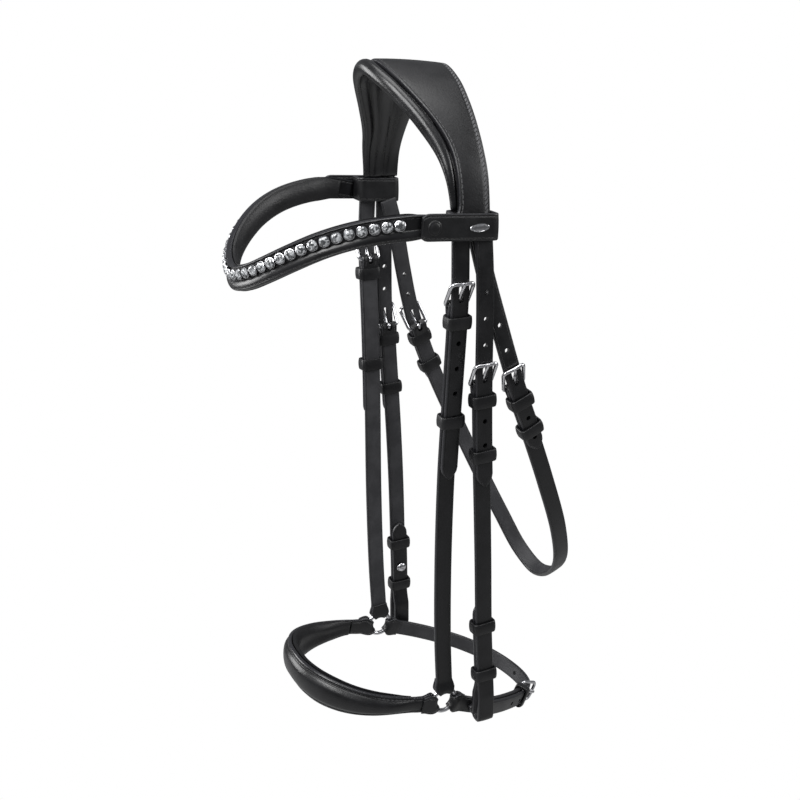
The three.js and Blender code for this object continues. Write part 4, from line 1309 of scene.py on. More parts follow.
def facing(side: Side) -> tuple[float, float, float]:
    """The direction across a cheek strap whose face points away from the horse."""
    return (0.0, float(side.value), 0.0)


def sided(side: Side, points: Points) -> np.ndarray:
    """Points given for the near side, on either side."""
    return np.asarray(points, float) * np.array([side.value, 1, 1])


# ------------------------------------------------------------------ padding by cloth simulation


END_MIDDLES = (0.0, 0.0)  # how free the two corners that close a swept lining's ends are


@dataclass
class Stuffing:
    """Fills a sewn lining: pressure swells its free leather while its seams stay put."""

    pressure: float = 6.0
    frames: int = 12
    cap: float = 0.0016

    def fill(self, obj: bpy.types.Object, free: np.ndarray) -> None:
        """Runs the cloth and keeps its result as the piece's mesh.

        Args:
            obj: the lining, a closed mesh.
            free: for each corner of the swept sections, 0 where a seam holds it and 1 where the
                leather can swell. The middles of the two ends, which come last, are always held.
        """
        seam = obj.vertex_groups.new(name="seam")
        held = np.flatnonzero(np.append(free, END_MIDDLES) < 0.5).tolist()
        seam.add(held, 1.0, "REPLACE")
        cloth = obj.modifiers.new("stuffing", "CLOTH")
        made = cloth.settings
        made.vertex_group_mass = "seam"
        made.quality = 6
        made.mass = 0.3
        made.tension_stiffness = made.compression_stiffness = 12
        made.bending_stiffness = 0.4
        made.use_pressure = True
        made.uniform_pressure_force = self.pressure
        made.effector_weights.gravity = 0.0
        cloth.collision_settings.use_collision = False
        rest = np.empty(len(obj.data.vertices) * 3, np.float32)
        obj.data.vertices.foreach_get("co", rest)
        rest = rest.reshape(-1, 3)
        scene = bpy.context.scene
        cloth.point_cache.frame_start = 1
        cloth.point_cache.frame_end = self.frames
        for frame in range(1, self.frames + 1):
            scene.frame_set(frame)
        graph = bpy.context.evaluated_depsgraph_get()
        swollen = np.empty(len(rest) * 3, np.float32)
        obj.evaluated_get(graph).data.vertices.foreach_get("co", swollen)
        move = swollen.reshape(-1, 3) - rest
        size = np.linalg.norm(move, axis=1, keepdims=True)
        move = move * np.minimum(1.0, self.cap / np.maximum(size, 1e-9))
        obj.modifiers.clear()
        obj.data.vertices.foreach_set("co", (rest + move).astype(np.float32).ravel())
        obj.data.update()
        scene.frame_set(1)
        log.info("%s swelled by up to %.2f mm", obj.name, float(size.max()) * 1000)


# ------------------------------------------------------------------ headpiece


@dataclass
class Headpiece:
    """The padded crown over the poll, wide at the top, with a rolled front edge."""

    leather: float = 3.4
    padding: float = 6.0
    front: float = -17.5
    rear: float = 30.0
    foot_front: float = 1.0
    foot_rear: float = 26.5
    waist: float = 6.5
    tilt: float = 0.085
    roll: float = 4.6
    narrowed_at: float = 82.0  # distances from the poll: where the front edge reaches its waist,
    foot_from: float = 106.0  # where it starts towards the foot,
    foot_to: float = 122.0  # where it gets there,
    rear_to: float = 110.0  # and where the rear edge does
    half: tuple[tuple[float, float], ...] = (
        (20, 0.8), (34, -10), (46, -22.5), (56.5, -37), (63, -50), (66, -65), (66.8, -77), (66.8, -88))

    def route(self) -> Route:
        """Over the poll, from the far side to the near side, along the leather's middle."""
        top = self.padding + SIZES.clearance + self.leather / 2
        near = [(0.0, top), *self.half]
        points = [(-x, 0.0, z) for x, z in near[:0:-1]] + [(x, 0.0, z) for x, z in near]
        return Route.through(points, (0.0, 1.0, -self.tilt))

    def edges(self, route: Route, distance: np.ndarray) -> tuple[np.ndarray, np.ndarray]:
        """The front and rear edges across the leather, at distances along."""
        reach = np.abs(distance - route.length / 2)
        front = self.front + (self.waist - self.front) * ease(reach, 0, self.narrowed_at)
        swing = ease(reach, self.foot_from, self.foot_to)
        front = front + (self.foot_front - self.waist) * swing
        rear = self.rear + (self.foot_rear - self.rear) * ease(reach, 0, self.rear_to)
        return front, rear

    def outer(self, route: Route) -> Surface:
        """The crown's leather, softly crowned and thinned at its edges."""
        distance = stations(3.0, route.length - 3.0, 2.5, 0.8)
        front, rear = self.edges(route, distance)
        section = Section.strap(self.leather, corner=1.3, crown=0.7)
        thick = round_ends(distance, 3.0, route.length - 3.0, 0.8)
        return carried(route, distance, section, front, rear, 0.0, thick)

    def lining_section(self) -> Section:
        """The padding under the leather: two soft channels, and the roll beyond its front edge."""
        turn = np.radians(np.linspace(35, 268, 22))
        centre = self.roll - self.padding
        roll = np.stack([np.full_like(turn, -1.0), self.roll * np.cos(turn),
                         centre + self.roll * np.sin(turn)])
        share = np.array([-0.86, -0.80, -0.72, -0.6, -0.45, -0.3, -0.15, -0.05, 0.02, 0.09, 0.2,
                          0.35, 0.5, 0.65, 0.8, 0.9, 0.96, 1.0])
        rise = -self.padding * np.array([0.72, 0.52, 0.72, 0.95, 1.05, 1.03, 0.9, 0.72, 0.62,
                                         0.72, 0.9, 1.0, 1.0, 0.9, 0.7, 0.48, 0.3, 0.15])
        under = np.stack([share, 0 * share, rise])
        top = np.array([[0.985, 0.9, 0.6, 0.3, 0, -0.3, -0.6, -0.72], [0] * 8,
                        [-0.1, 0, 0, 0, 0, 0, 0, -0.3]])
        groove = np.array([[-0.76, -0.79], [0, 0], [-1.6, -1.5]])
        return Section(*np.concatenate([roll, under, top, groove], axis=1))

    def lining(self, route: Route) -> tuple[Surface, np.ndarray]:
        """The padded lining, and how free each of its corners is to swell."""
        margin = 17.5
        distance = stations(margin, route.length - margin, 2.4, 3.0)
        front, rear = self.edges(route, distance)
        section = self.lining_section()
        end = route.to_end(distance)
        taper = 0.4 + 0.6 * ease(end, margin - 4, margin + 55)
        thick = taper * round_ends(distance, margin, route.length - margin, 3.0)
        edge = front - SIZES.clearance - self.roll * taper
        out = -(self.leather / 2 + SIZES.clearance)
        surface = carried(route, distance, section, edge, rear + 1.0, out, thick)
        seam = (section.rise > -0.5) & (section.share > -0.99)
        seam = seam | (np.abs(section.share - 0.02) < 0.03) | (np.abs(section.share + 0.8) < 0.03)
        free = np.tile((~seam).astype(float), len(distance))
        free[: 3 * len(section.share)] = 0
        free[-3 * len(section.share):] = 0
        return surface, free

    def build(self, bench: Bench) -> None:
        """Adds the leather and its padded lining."""
        route = self.route()
        outer = self.outer(route).build("crown_leather", bench.finishes.crown)
        bench.settle(outer, "headpiece", Slot.LEATHER, "headpiece_leather")
        surface, free = self.lining(route)
        lining = surface.build("crown_lining", bench.finishes.roll)
        Stuffing(pressure=8.0, cap=0.0010).fill(lining, free)
        bench.settle(lining, "headpiece", Slot.LINING, "headpiece_padding")


# ------------------------------------------------------------------ browband


@dataclass
class Browband:
    """The dipped browband: piped edges, a row of cut crystals, and a loop at either end."""

    height: float = 15.0
    leather: float = 3.0
    padding: float = 4.0
    pitch: float = 7.0
    stone: float = 3.15
    stone_offset: float = 2.4
    bare_end: float = 27.0  # length at either end that has no stones
    half: tuple[tuple[float, float, float], ...] = (
        (71.6, -4, -80.5), (72.2, -16, -77.5), (72, -29, -76.5), (68.5, -44.6, -77.6),
        (62.8, -60.5, -80.6), (54.8, -75.6, -86), (43.7, -89.7, -94), (30.6, -100.6, -102.3),
        (16.5, -107.3, -109))
    middle: tuple[float, float, float] = (0, -110, -112.5)

    def route(self) -> Route:
        """Round the forehead from the near side to the far side; its face points at the horse."""
        far = [(-x, y, z) for x, y, z in self.half[::-1]]
        return Route.through([*self.half, self.middle, *far], (0.0, 0.0, 1.0))

    def band_section(self) -> Section:
        """A channel for the stones, between a thin piped edge above and a wide padded one below."""
        face = -self.leather / 2
        share = [1.0, 1.0, 0.9, 0.0, -0.9, -1.0, -1.0, -0.93, -0.72, -0.45, -0.24, -0.16, -0.1,
                 0.35, 0.76, 0.82, 0.9, 0.97]
        rise = [-0.4, 0.9, 1.5, 1.5, 1.5, 0.9, -0.6, -1.9, -2.7, -2.6, -1.9, -1.2, face * 0.75,
                face * 0.75, face * 0.75, -1.7, -2.2, -1.6]
        return Section.outline(share, rise, 4)

    def lining_section(self) -> Section:
        """The padded lining's crowned form, towards the horse."""
        share = [-1.0, -0.95, -0.6, 0.0, 0.6, 0.95, 1.0, 0.9, 0.5, 0.0, -0.5, -0.9]
        rise = [0.25, 0.0, 0.0, 0.0, 0.0, 0.0, 0.25, 2.0, 3.5, 4.1, 3.5, 2.0]
        return Section.outline(share, rise, 4)

    def stones(self, route: Route) -> tuple[Surface, Surface]:
        """The cut stones and the metal cups that hold them, copied to every place along the row.

        Returns:
            The stones and the cups.
        """
        count = 2 * int((route.length / 2 - self.bare_end) / self.pitch) + 1
        start = (route.length - (count - 1) * self.pitch) / 2
        place, across, face, along = route.stand(start + self.pitch * np.arange(count))
        out = -face
        base = place + (self.leather / 2 + SIZES.clearance) * out + self.stone_offset * across
        stone, cup = self._stone(), self._cup()
        return (self._copied(*stone, base, across, out, along),
                self._copied(*cup, base, across, out, along))

    def _stone(self) -> tuple[np.ndarray, np.ndarray]:
        """One stone: five rings of eight corners, with flat facets from the girdle to the table.

        The fourth ring is turned by half a step, so the belt below it is split the other way.

        Returns:
            Its corners and triangles.
        """
        rings = [(0.80, 0.0, 0), (0.97, 0.9, 0), (1.0, 1.25, 0), (0.82, 1.95, 1), (0.52, 2.45, 0)]
        sides, lift, top, turned_ring = 8, 0.35, 2.8, 3
        corners = []
        for share, height, turn in rings:
            angle = np.arange(sides) * np.pi / 4 + turn * np.pi / 8
            radius = self.stone * 0.97 * share
            corners.append(np.stack([radius * np.cos(angle), np.full(sides, height + lift),
                                     radius * np.sin(angle)], -1))
        facets = self._lids(sides, len(rings))
        j = np.arange(sides)
        beside = (j + 1) % sides
        for ring in range(1, len(rings)):
            low, high = sides * (ring - 1), sides * ring
            a, b, c, d = low + j, low + beside, high + beside, high + j
            if ring == turned_ring:
                facets += [np.stack([a, b, d], -1), np.stack([b, c, d], -1)]
            else:
                facets += [np.stack([a, b, c], -1), np.stack([a, c, d], -1)]
        return np.vstack([*corners, [[0, lift, 0], [0, top, 0]]]), np.vstack(facets)

    def _cup(self) -> tuple[np.ndarray, np.ndarray]:
        """One cup: a rim over a flat foot, with four claws that lean in over the stone.

        Returns:
            Its corners and triangles.
        """
        rings = [(2.0, 0.0), (3.1, 0.15), (3.36, 1.5), (3.16, 1.62), (3.05, 1.3), (1.8, 0.4)]
        sides, clawed = 16, (2, 3)
        angle = np.arange(sides) * np.pi / 8
        claw = 0.34 * (np.cos(angle * 4) > 0.9)
        corners = []
        for index, (radius, height) in enumerate(rings):
            reach = claw if index in clawed else 0 * claw
            narrow = radius - reach * 0.9
            corners.append(np.stack([narrow * np.cos(angle), height + reach * 1.6,
                                     narrow * np.sin(angle)], -1))
        walls = self._lids(sides, len(rings))
        j = np.arange(sides)
        beside = (j + 1) % sides
        for row in range(len(rings) - 1):
            a, b = sides * row + j, sides * row + beside
            walls += [np.stack([a, b, b + sides], -1), np.stack([a, b + sides, a + sides], -1)]
        return np.vstack([*corners, [[0, 0.0, 0], [0, 0.4, 0]]]), np.vstack(walls)

    @staticmethod
    def _lids(sides: int, rings: int) -> list[np.ndarray]:
        """Fans that close stacked rings below and above; their middles come after the rings."""
        j = np.arange(sides)
        beside = (j + 1) % sides
        middle, top = sides * rings, sides * (rings - 1)
        return [np.stack([np.full(sides, middle), beside, j], -1),
                np.stack([np.full(sides, middle + 1), top + j, top + beside], -1)]

    @staticmethod
    def _copied(shape: np.ndarray, tris: np.ndarray, base: np.ndarray, across: np.ndarray,
                out: np.ndarray, along: np.ndarray) -> Surface:
        """One small shape copied to every place: base + x across + y out + z along."""
        axes = np.stack([across, out, along], 1)
        corners = base[:, None] + np.einsum("pk,nkc->npc", shape, axes)
        step = len(shape) * np.arange(len(base))[:, None, None]
        every = (tris[None] + step).reshape(-1, 3)
        corners = corners.reshape(-1, 3)
        return Surface(corners, NO_QUADS, every, corners[:, :2] * MM).outwards()

    def loop(self, side: Side) -> Surface:
        """The end loop: one strip from its tab, round the headpiece and back to its own start."""
        head = Headpiece()
        wall, height = SIZES.loop_wall, SIZES.loop_height
        x_line = head.half[-1][0]
        low = x_line - head.leather / 2 - 1 - wall / 2
        tab_x = self.half[1][0] + self.leather / 2 + SIZES.clearance + wall / 2
        front = head.foot_front - SIZES.clearance - wall / 2
        rear = head.foot_rear + SIZES.clearance + wall / 2
        r = 2.6
        turn = np.linspace(0, np.pi / 2, 8)

        def arc(x: float, y: float, start: float) -> np.ndarray:
            """A quarter circle about a middle, from an angle on."""
            return np.stack([x + r * np.cos(start + turn), y + r * np.sin(start + turn)], -1)

        path = np.vstack([
            [[tab_x + 0.25, -22.0], [tab_x, -12.0], [tab_x, 0.0], [tab_x, rear - 2 * r]],
            arc(tab_x - r, rear - r, 0),
            arc(low + r, rear - r, np.pi / 2),
            arc(low + r, front + r, np.pi),
            [[low + 4 * r, front], [tab_x - wall - 2.4, front]],
        ])
        climb = SIZES.loop_rise * (rear - path[:, 1])
        z = SIZES.crown_foot + height / 2 + climb
        flat = np.column_stack([side.value * path[:, 0], path[:, 1], z])
        dense = Route(flat, (0, 0, 1))
        route = Route(dense.at(np.arange(0, dense.length, 0.8)), (0, 0, side.value))
        distance = stations(0.0, route.length, 1.6, 0.8)
        corner = np.sqrt(np.clip(1 - (1 - np.clip(distance / 5.0, 0, 1)) ** 2, 0, 1))
        half = height / 2 * (0.62 + 0.38 * corner)
        thick = round_ends(distance, 0, route.length, 0.8)
        section = Section.strap(wall, crown=0.25)
        return carried(route, distance, section, -half, half, 0.0, thick)

    def stud_on_loop(self, side: Side, y: float, profile: Points, stretch: float) -> Surface:
        """A turned head set on a loop's outer face, stretched along the loop."""
        head = Headpiece()
        x = self.half[1][0] + self.leather / 2 + SIZES.clearance + SIZES.loop_wall
        z = SIZES.crown_foot + SIZES.loop_height / 2 + SIZES.loop_rise * (head.foot_rear - y)
        made = turned(profile)
        local = made.corners * np.array([stretch, 1, 1])
        corners = np.column_stack([side.value * (x + local[:, 1]), y + local[:, 0], z + local[:, 2]])
        return Surface(corners, made.quads, made.tris, made.uv).outwards()

    def build(self, bench: Bench) -> None:
        """Adds the band, its lining, the stones and the two end loops."""
        finishes = bench.finishes
        route = self.route()
        half = self.height / 2
        distance = stations(0.0, route.length, 2.2, 0.9)
        thick = round_ends(distance, 0.0, route.length, 0.9)
        end = route.to_end(distance)
        thick = thick * (0.72 + 0.28 * ease(end, 22, 30))
        low = -half * (0.62 + 0.38 * ease(end, 4, 26))
        band = carried(route, distance, self.band_section(), low, half, 0.0, thick)
        obj = band.build("browband_band", finishes.band)
        bench.settle(obj, "headpiece", Slot.LEATHER, "browband_leather")
        self._build_lining(bench, route)
        stones, cups = self.stones(route)
        obj = stones.build("browband_stones", finishes.crystal, 8.0)
        bench.settle(obj, "headpiece", Slot.CRYSTAL, "browband_crystals")
        bench.settle(cups.build("browband_stone_cups", finishes.steel, 30.0), "headpiece", Slot.STEEL)
        snap = [(0, 1.25), (1.6, 1.2), (3.0, 1.0), (3.3, 0.75), (3.7, 0.85), (4.4, 0.5), (4.7, -0.1),
                (0, -0.1)]
        badge = [(0, 0.75), (1.3, 0.72), (1.9, 0.55), (2.1, 0.8), (2.35, 0.75), (2.5, 0.2),
                 (2.5, -0.1), (0, -0.1)]
        for side in Side:
            loop = self.loop(side).build(f"{side.word}_browband_loop_strip", finishes.loop)
            bench.settle(loop, "headpiece", Slot.LEATHER, f"{side.word}_browband_loop")
            head = self.stud_on_loop(side, -14.0, snap, 1.0)
            obj = head.build(f"{side.word}_browband_snap_head", finishes.keeper)
            bench.settle(obj, "headpiece", Slot.LEATHER, f"{side.word}_browband_snap")
        plate = self.stud_on_loop(Side.NEAR, 15.0, badge, 2.6)
        bench.settle(plate.build("near_browband_plate", finishes.steel), "headpiece", Slot.STEEL,
                     "near_browband_badge")

    def _build_lining(self, bench: Bench, route: Route) -> None:
        """Adds the padded lining behind the band."""
        margin = 9.0
        distance = stations(margin, route.length - margin, 2.2, 2.0)
        end = route.to_end(distance)
        thick = round_ends(distance, margin, route.length - margin, 2.0)
        thick = thick * (0.3 + 0.7 * ease(end, margin, 34))
        section = self.lining_section()
        half = (self.height + 1) / 2 * (0.75 + 0.25 * ease(end, margin, 26))
        out = self.leather / 2 + 0.45
        surface = carried(route, distance, section, -half, half, out, thick)
        obj = surface.build("browband_lining", bench.finishes.lining)
        free = np.tile((section.rise > 0.6).astype(float), len(distance))
        Stuffing(pressure=5.0, cap=0.0008).fill(obj, free)
        bench.settle(obj, "headpiece", Slot.LINING, "browband_padding")


# ------------------------------------------------------------------ noseband


@dataclass
class NosebandCheek:
    """One side's noseband hanger: billet, buckled strap, keepers and ring."""

    side: Side
    buckle: float = -127.0
    fixed_keeper: float = -137.0
    loose_keeper: float = -202.0
    tip: float = -242.0
    line: tuple[tuple[float, float, float], ...] = (
        (68.5, 6.8, SIZES.billet_top), (69.5, 6.5, -104), (69.8, 6.4, -118), (68.6, 6.3, -140),
        (66, 6.1, -170), (63.5, 5.6, -205), (61.5, 5, -240), (60, 4.6, -300), (59, 5.6, -360),
        (SIZES.ring_at[0] + SIZES.layer, SIZES.ring_at[1], SIZES.ring_at[2] + SIZES.eye_reach))

    def build(self, bench: Bench) -> None:
        """Adds every piece of the hanger."""
        name = f"{self.side.word}_noseband"
        cheeks = "noseband_cheeks"
        route = Route.through(sided(self.side, self.line), facing(self.side))
        at = route.at_height(self.buckle)
        billet = Billet(route, at, route.at_height(self.tip), (2, 3, 4, 5), start=-5.0)
        obj = billet.build(f"{name}_billet_strap", bench.finishes)
        bench.bend(obj, ("headpiece", cheeks), (-86.0, -106.0), Slot.LEATHER, f"{name}_billet")
        strap = fanned(bar_to_ring(route, at), self.side, (0, 0, 1))
        obj = strap.build(f"{name}_cheek_strap", bench.finishes.chape, inside=bench.finishes.flesh)
        bench.settle(cut_out(obj, [bar_slit(route, at)]), cheeks, Slot.LEATHER, f"{name}_cheek")
        Buckle(route, at).build(bench, name, cheeks, f"{name}_tongue_body")
        Keeper(route, route.at_height(self.fixed_keeper)).build(bench, f"{name}_keeper", cheeks)
        Keeper(route, route.at_height(self.loose_keeper)).build(
            bench, f"{name}_slider", f"{name}_slider_body")
        self._ring(bench)

    def _ring(self, bench: Bench) -> None:
        """Adds the ring: a circle of polished wire that faces sideways."""
        angle = np.linspace(0, 2 * np.pi, 96, endpoint=False)
        radius = SIZES.ring_radius
        loop = np.stack([0 * angle, radius * np.cos(angle), radius * np.sin(angle)], -1)
        route = Route(loop + SIZES.ring_centre(self.side), (1, 0, 0), True)
        distance = np.linspace(0, route.length, 96, endpoint=False)
        wire = carried(route, distance, Section.round(SIZES.ring_wire, 20), 0.0, 0.0)
        obj = wire.build(f"{self.side.word}_ring_wire", bench.finishes.steel)
        bench.settle(obj, f"{self.side.word}_ring_body", Slot.STEEL, f"{self.side.word}_ring")


@dataclass
class NosebandFront:
    """The padded front of the noseband, round the nose from ring to ring."""

    height: float = 24.0
    end_height: float = 12.0
    leather: float = 3.4
    fold_length: float = 13.0
    fold_end: float = 5.6
    half: tuple[tuple[float, float, float], ...] = (
        (54.6, -22, -408), (50.2, -44, -404), (41.5, -60, -400.5), (28, -73, -396.5),
        (13, -79.4, -394))
    middle: tuple[float, float, float] = (0, -80.8, -393)

    def route(self) -> Route:
        """From the near ring to the far ring; its face points at the horse."""
        x, y, z = SIZES.ring_at
        near = [(x, y - SIZES.eye_reach, z), *self.half]
        far = [(-a, b, c) for a, b, c in near[::-1]]
        return Route.through([*near, self.middle, *far], (0.0, 0.0, 1.0))

    def half_width(self, route: Route, distance: np.ndarray, extra: float) -> np.ndarray:
        """Half of the band's height at distances along: full at the nose, narrow at the rings."""
        end = route.to_end(distance)
        half = (self.end_height + (self.height - self.end_height) * ease(end, 8, 85) + extra) / 2
        return RING_NECK + (half - RING_NECK) * ease(end, -2, 9)

    def outer_section(self) -> Section:
        """Outer leather: thin creased rims, and a raised padded middle away from the horse."""
        share = [1.0, 1.0, 0.93, 0.5, 0.0, -0.5, -0.93, -1.0, -1.0, -0.94, -0.84, -0.77, -0.7,
                 -0.5, -0.25, 0.0, 0.25, 0.5, 0.7, 0.77, 0.84, 0.94]
        rise = [-0.5, 0.6, 1.5, 1.6, 1.6, 1.6, 1.5, 0.6, -0.5, -1.3, -1.55, -1.5, -2.6, -4.2, -4.9,
                -5.1, -4.9, -4.2, -2.6, -1.5, -1.55, -1.3]
        return Section.outline(share, rise, 4)

    def build(self, bench: Bench) -> None:
        """Adds the outer band with its folded ends, and the padded lining."""
        route = self.route()
        band_from, band_to = 4.0, route.length - 4.0
        distance = stations(band_from, band_to, 2.2, 1.0)
        half = self.half_width(route, distance, 0.0)
        end = route.to_end(distance)
        swell = 0.42 + 0.58 * ease(end, 9, 30)
        thick = swell * round_ends(distance, band_from, band_to, 1.0)
        band = carried(route, distance, self.outer_section(), -half, half, 0.0, thick)
        obj = band.joined(*self._folds(route)).build("noseband_band", bench.finishes.band)
        bench.settle(obj, "noseband_front", Slot.LEATHER, "noseband_leather")
        self._build_lining(bench, route)

    def _folds(self, route: Route) -> list[Surface]:
        """The band's two ends, each a short thin strap folded round its ring."""
        wrap, gap, thin = ring_wrap(0.0), SIZES.eye_gap, 19.0
        near = strap_route(route, wrap, -gap, None, self.fold_length, 0.0)
        far = strap_route(route, None, route.length - self.fold_length, wrap, route.length + gap, 0.0)
        half = SIZES.strap_width / 2
        return [
            fanned(strap_body(near, half, (thin, 0.0), (RING_NECK, self.fold_end), 1.2),
                   Side.NEAR, (0, -1, 0)),
            fanned(strap_body(far, half, (0.0, thin), (self.fold_end, RING_NECK), 1.2),
                   Side.FAR, (0, -1, 0)),
        ]

    def _build_lining(self, bench: Bench, route: Route) -> None:
        """Adds the padded lining inside the band."""
        margin = 14.0
        distance = stations(margin, route.length - margin, 2.2, 2.0)
        end = route.to_end(distance)
        half = self.half_width(route, distance, 1.0) - 0.9 * (1 - ease(end, margin, 30))
        share = [-1.0, -0.96, -0.6, 0.0, 0.6, 0.96, 1.0, 0.9, 0.5, 0.0, -0.5, -0.9]
        rise = [0.3, 0.0, 0.0, 0.0, 0.0, 0.0, 0.3, 2.6, 4.8, 3.9, 4.8, 2.6]
        section = Section.outline(share, rise, 4)
        thick = round_ends(distance, margin, route.length - margin, 2.0)
        thick = thick * (0.25 + 0.75 * ease(end, margin, 42))
        out = self.leather / 2 + 0.3
        surface = carried(route, distance, section, -half, half, out, thick)
        obj = surface.build("noseband_lining", bench.finishes.lining)
        free = np.tile((section.rise > 0.8).astype(float), len(distance))
        Stuffing(pressure=6.0, cap=0.0010).fill(obj, free)
        bench.settle(obj, "noseband_front", Slot.LINING, "noseband_padding")


@dataclass
class ChinStrap:
    """The strap under the jaw: the far half's billet buckled to the near half."""

    slope: float = math.radians(-27)
    buckle_from_near: float = 100.0
    hole_pitch: float = 15.0
    keeper: float = 9.0
    tip_from_ring: float = 9.0
    outline: tuple[tuple[float, float], ...] = (
        (-55, 11.85), (-57.2, 25), (-58.6, 44), (-58, 62), (-54.5, 82), (-45, 101), (-31, 112),
        (-14, 116), (2, 112), (15, 102), (27, 88), (38, 71), (48, 53), (55.5, 36), (58.2, 20),
        (58.6, 11.85))

    def route(self) -> Route:
        """Round the jaw from the far ring to the near side, in the strap's sloping plane."""
        x, back = np.asarray(self.outline, float).T
        _, y, z = SIZES.ring_at
        points = np.stack([x, y + back * math.cos(self.slope), z + back * math.sin(self.slope)], -1)
        across = (0.0, -math.sin(-self.slope), -math.cos(self.slope))
        return Route.through(points, across)

    def build(self, bench: Bench) -> None:
        """Adds both halves, the buckle and the keeper."""
        route = self.route()
        at = route.length - self.buckle_from_near
        away = (0.0, math.cos(self.slope), math.sin(self.slope))
        tip = route.length - self.tip_from_ring
        way = strap_route(route, ring_wrap(0.0), -SIZES.eye_gap, None, tip, 0.0)
        distance = stations(0.0, way.length, 1.6, 0.8)
        thin = SIZES.skived
        thick = thin + (1 - thin) * ease(distance, 16, 26)
        thick = thick * round_ends(distance, 0.0, way.length, 0.8)
        half = tip_half(distance, SIZES.billet_width / 2, way.length)
        long = carried(way, distance, Section.strap(SIZES.strap_thickness), -half, half, 0.0, thick)
        obj = fanned(long, Side.FAR, away).build(
            "chin_long_strap", bench.finishes.strap, inside=bench.finishes.flesh)
        holes = [at + SIZES.first_hole + step * self.hole_pitch for step in (-2, -1, 2, 3)]
        obj = cut_out(obj, [*drilled(route, holes), tongue_slot(route, at)])
        bench.settle(obj, "chin_strap", Slot.LEATHER, "chin_strap_long")
        obj = fanned(bar_to_ring(route, at), Side.NEAR, away).build(
            "chin_short_strap", bench.finishes.chape, inside=bench.finishes.flesh)
        bench.settle(cut_out(obj, [bar_slit(route, at)]), "chin_strap", Slot.LEATHER, "chin_strap_short")
        Buckle(route, at).build(bench, "chin", "chin_strap", "chin_tongue_body")
        Keeper(route, at + self.keeper).build(bench, "chin_keeper", "chin_strap")


# ------------------------------------------------------------------ bit cheekpieces


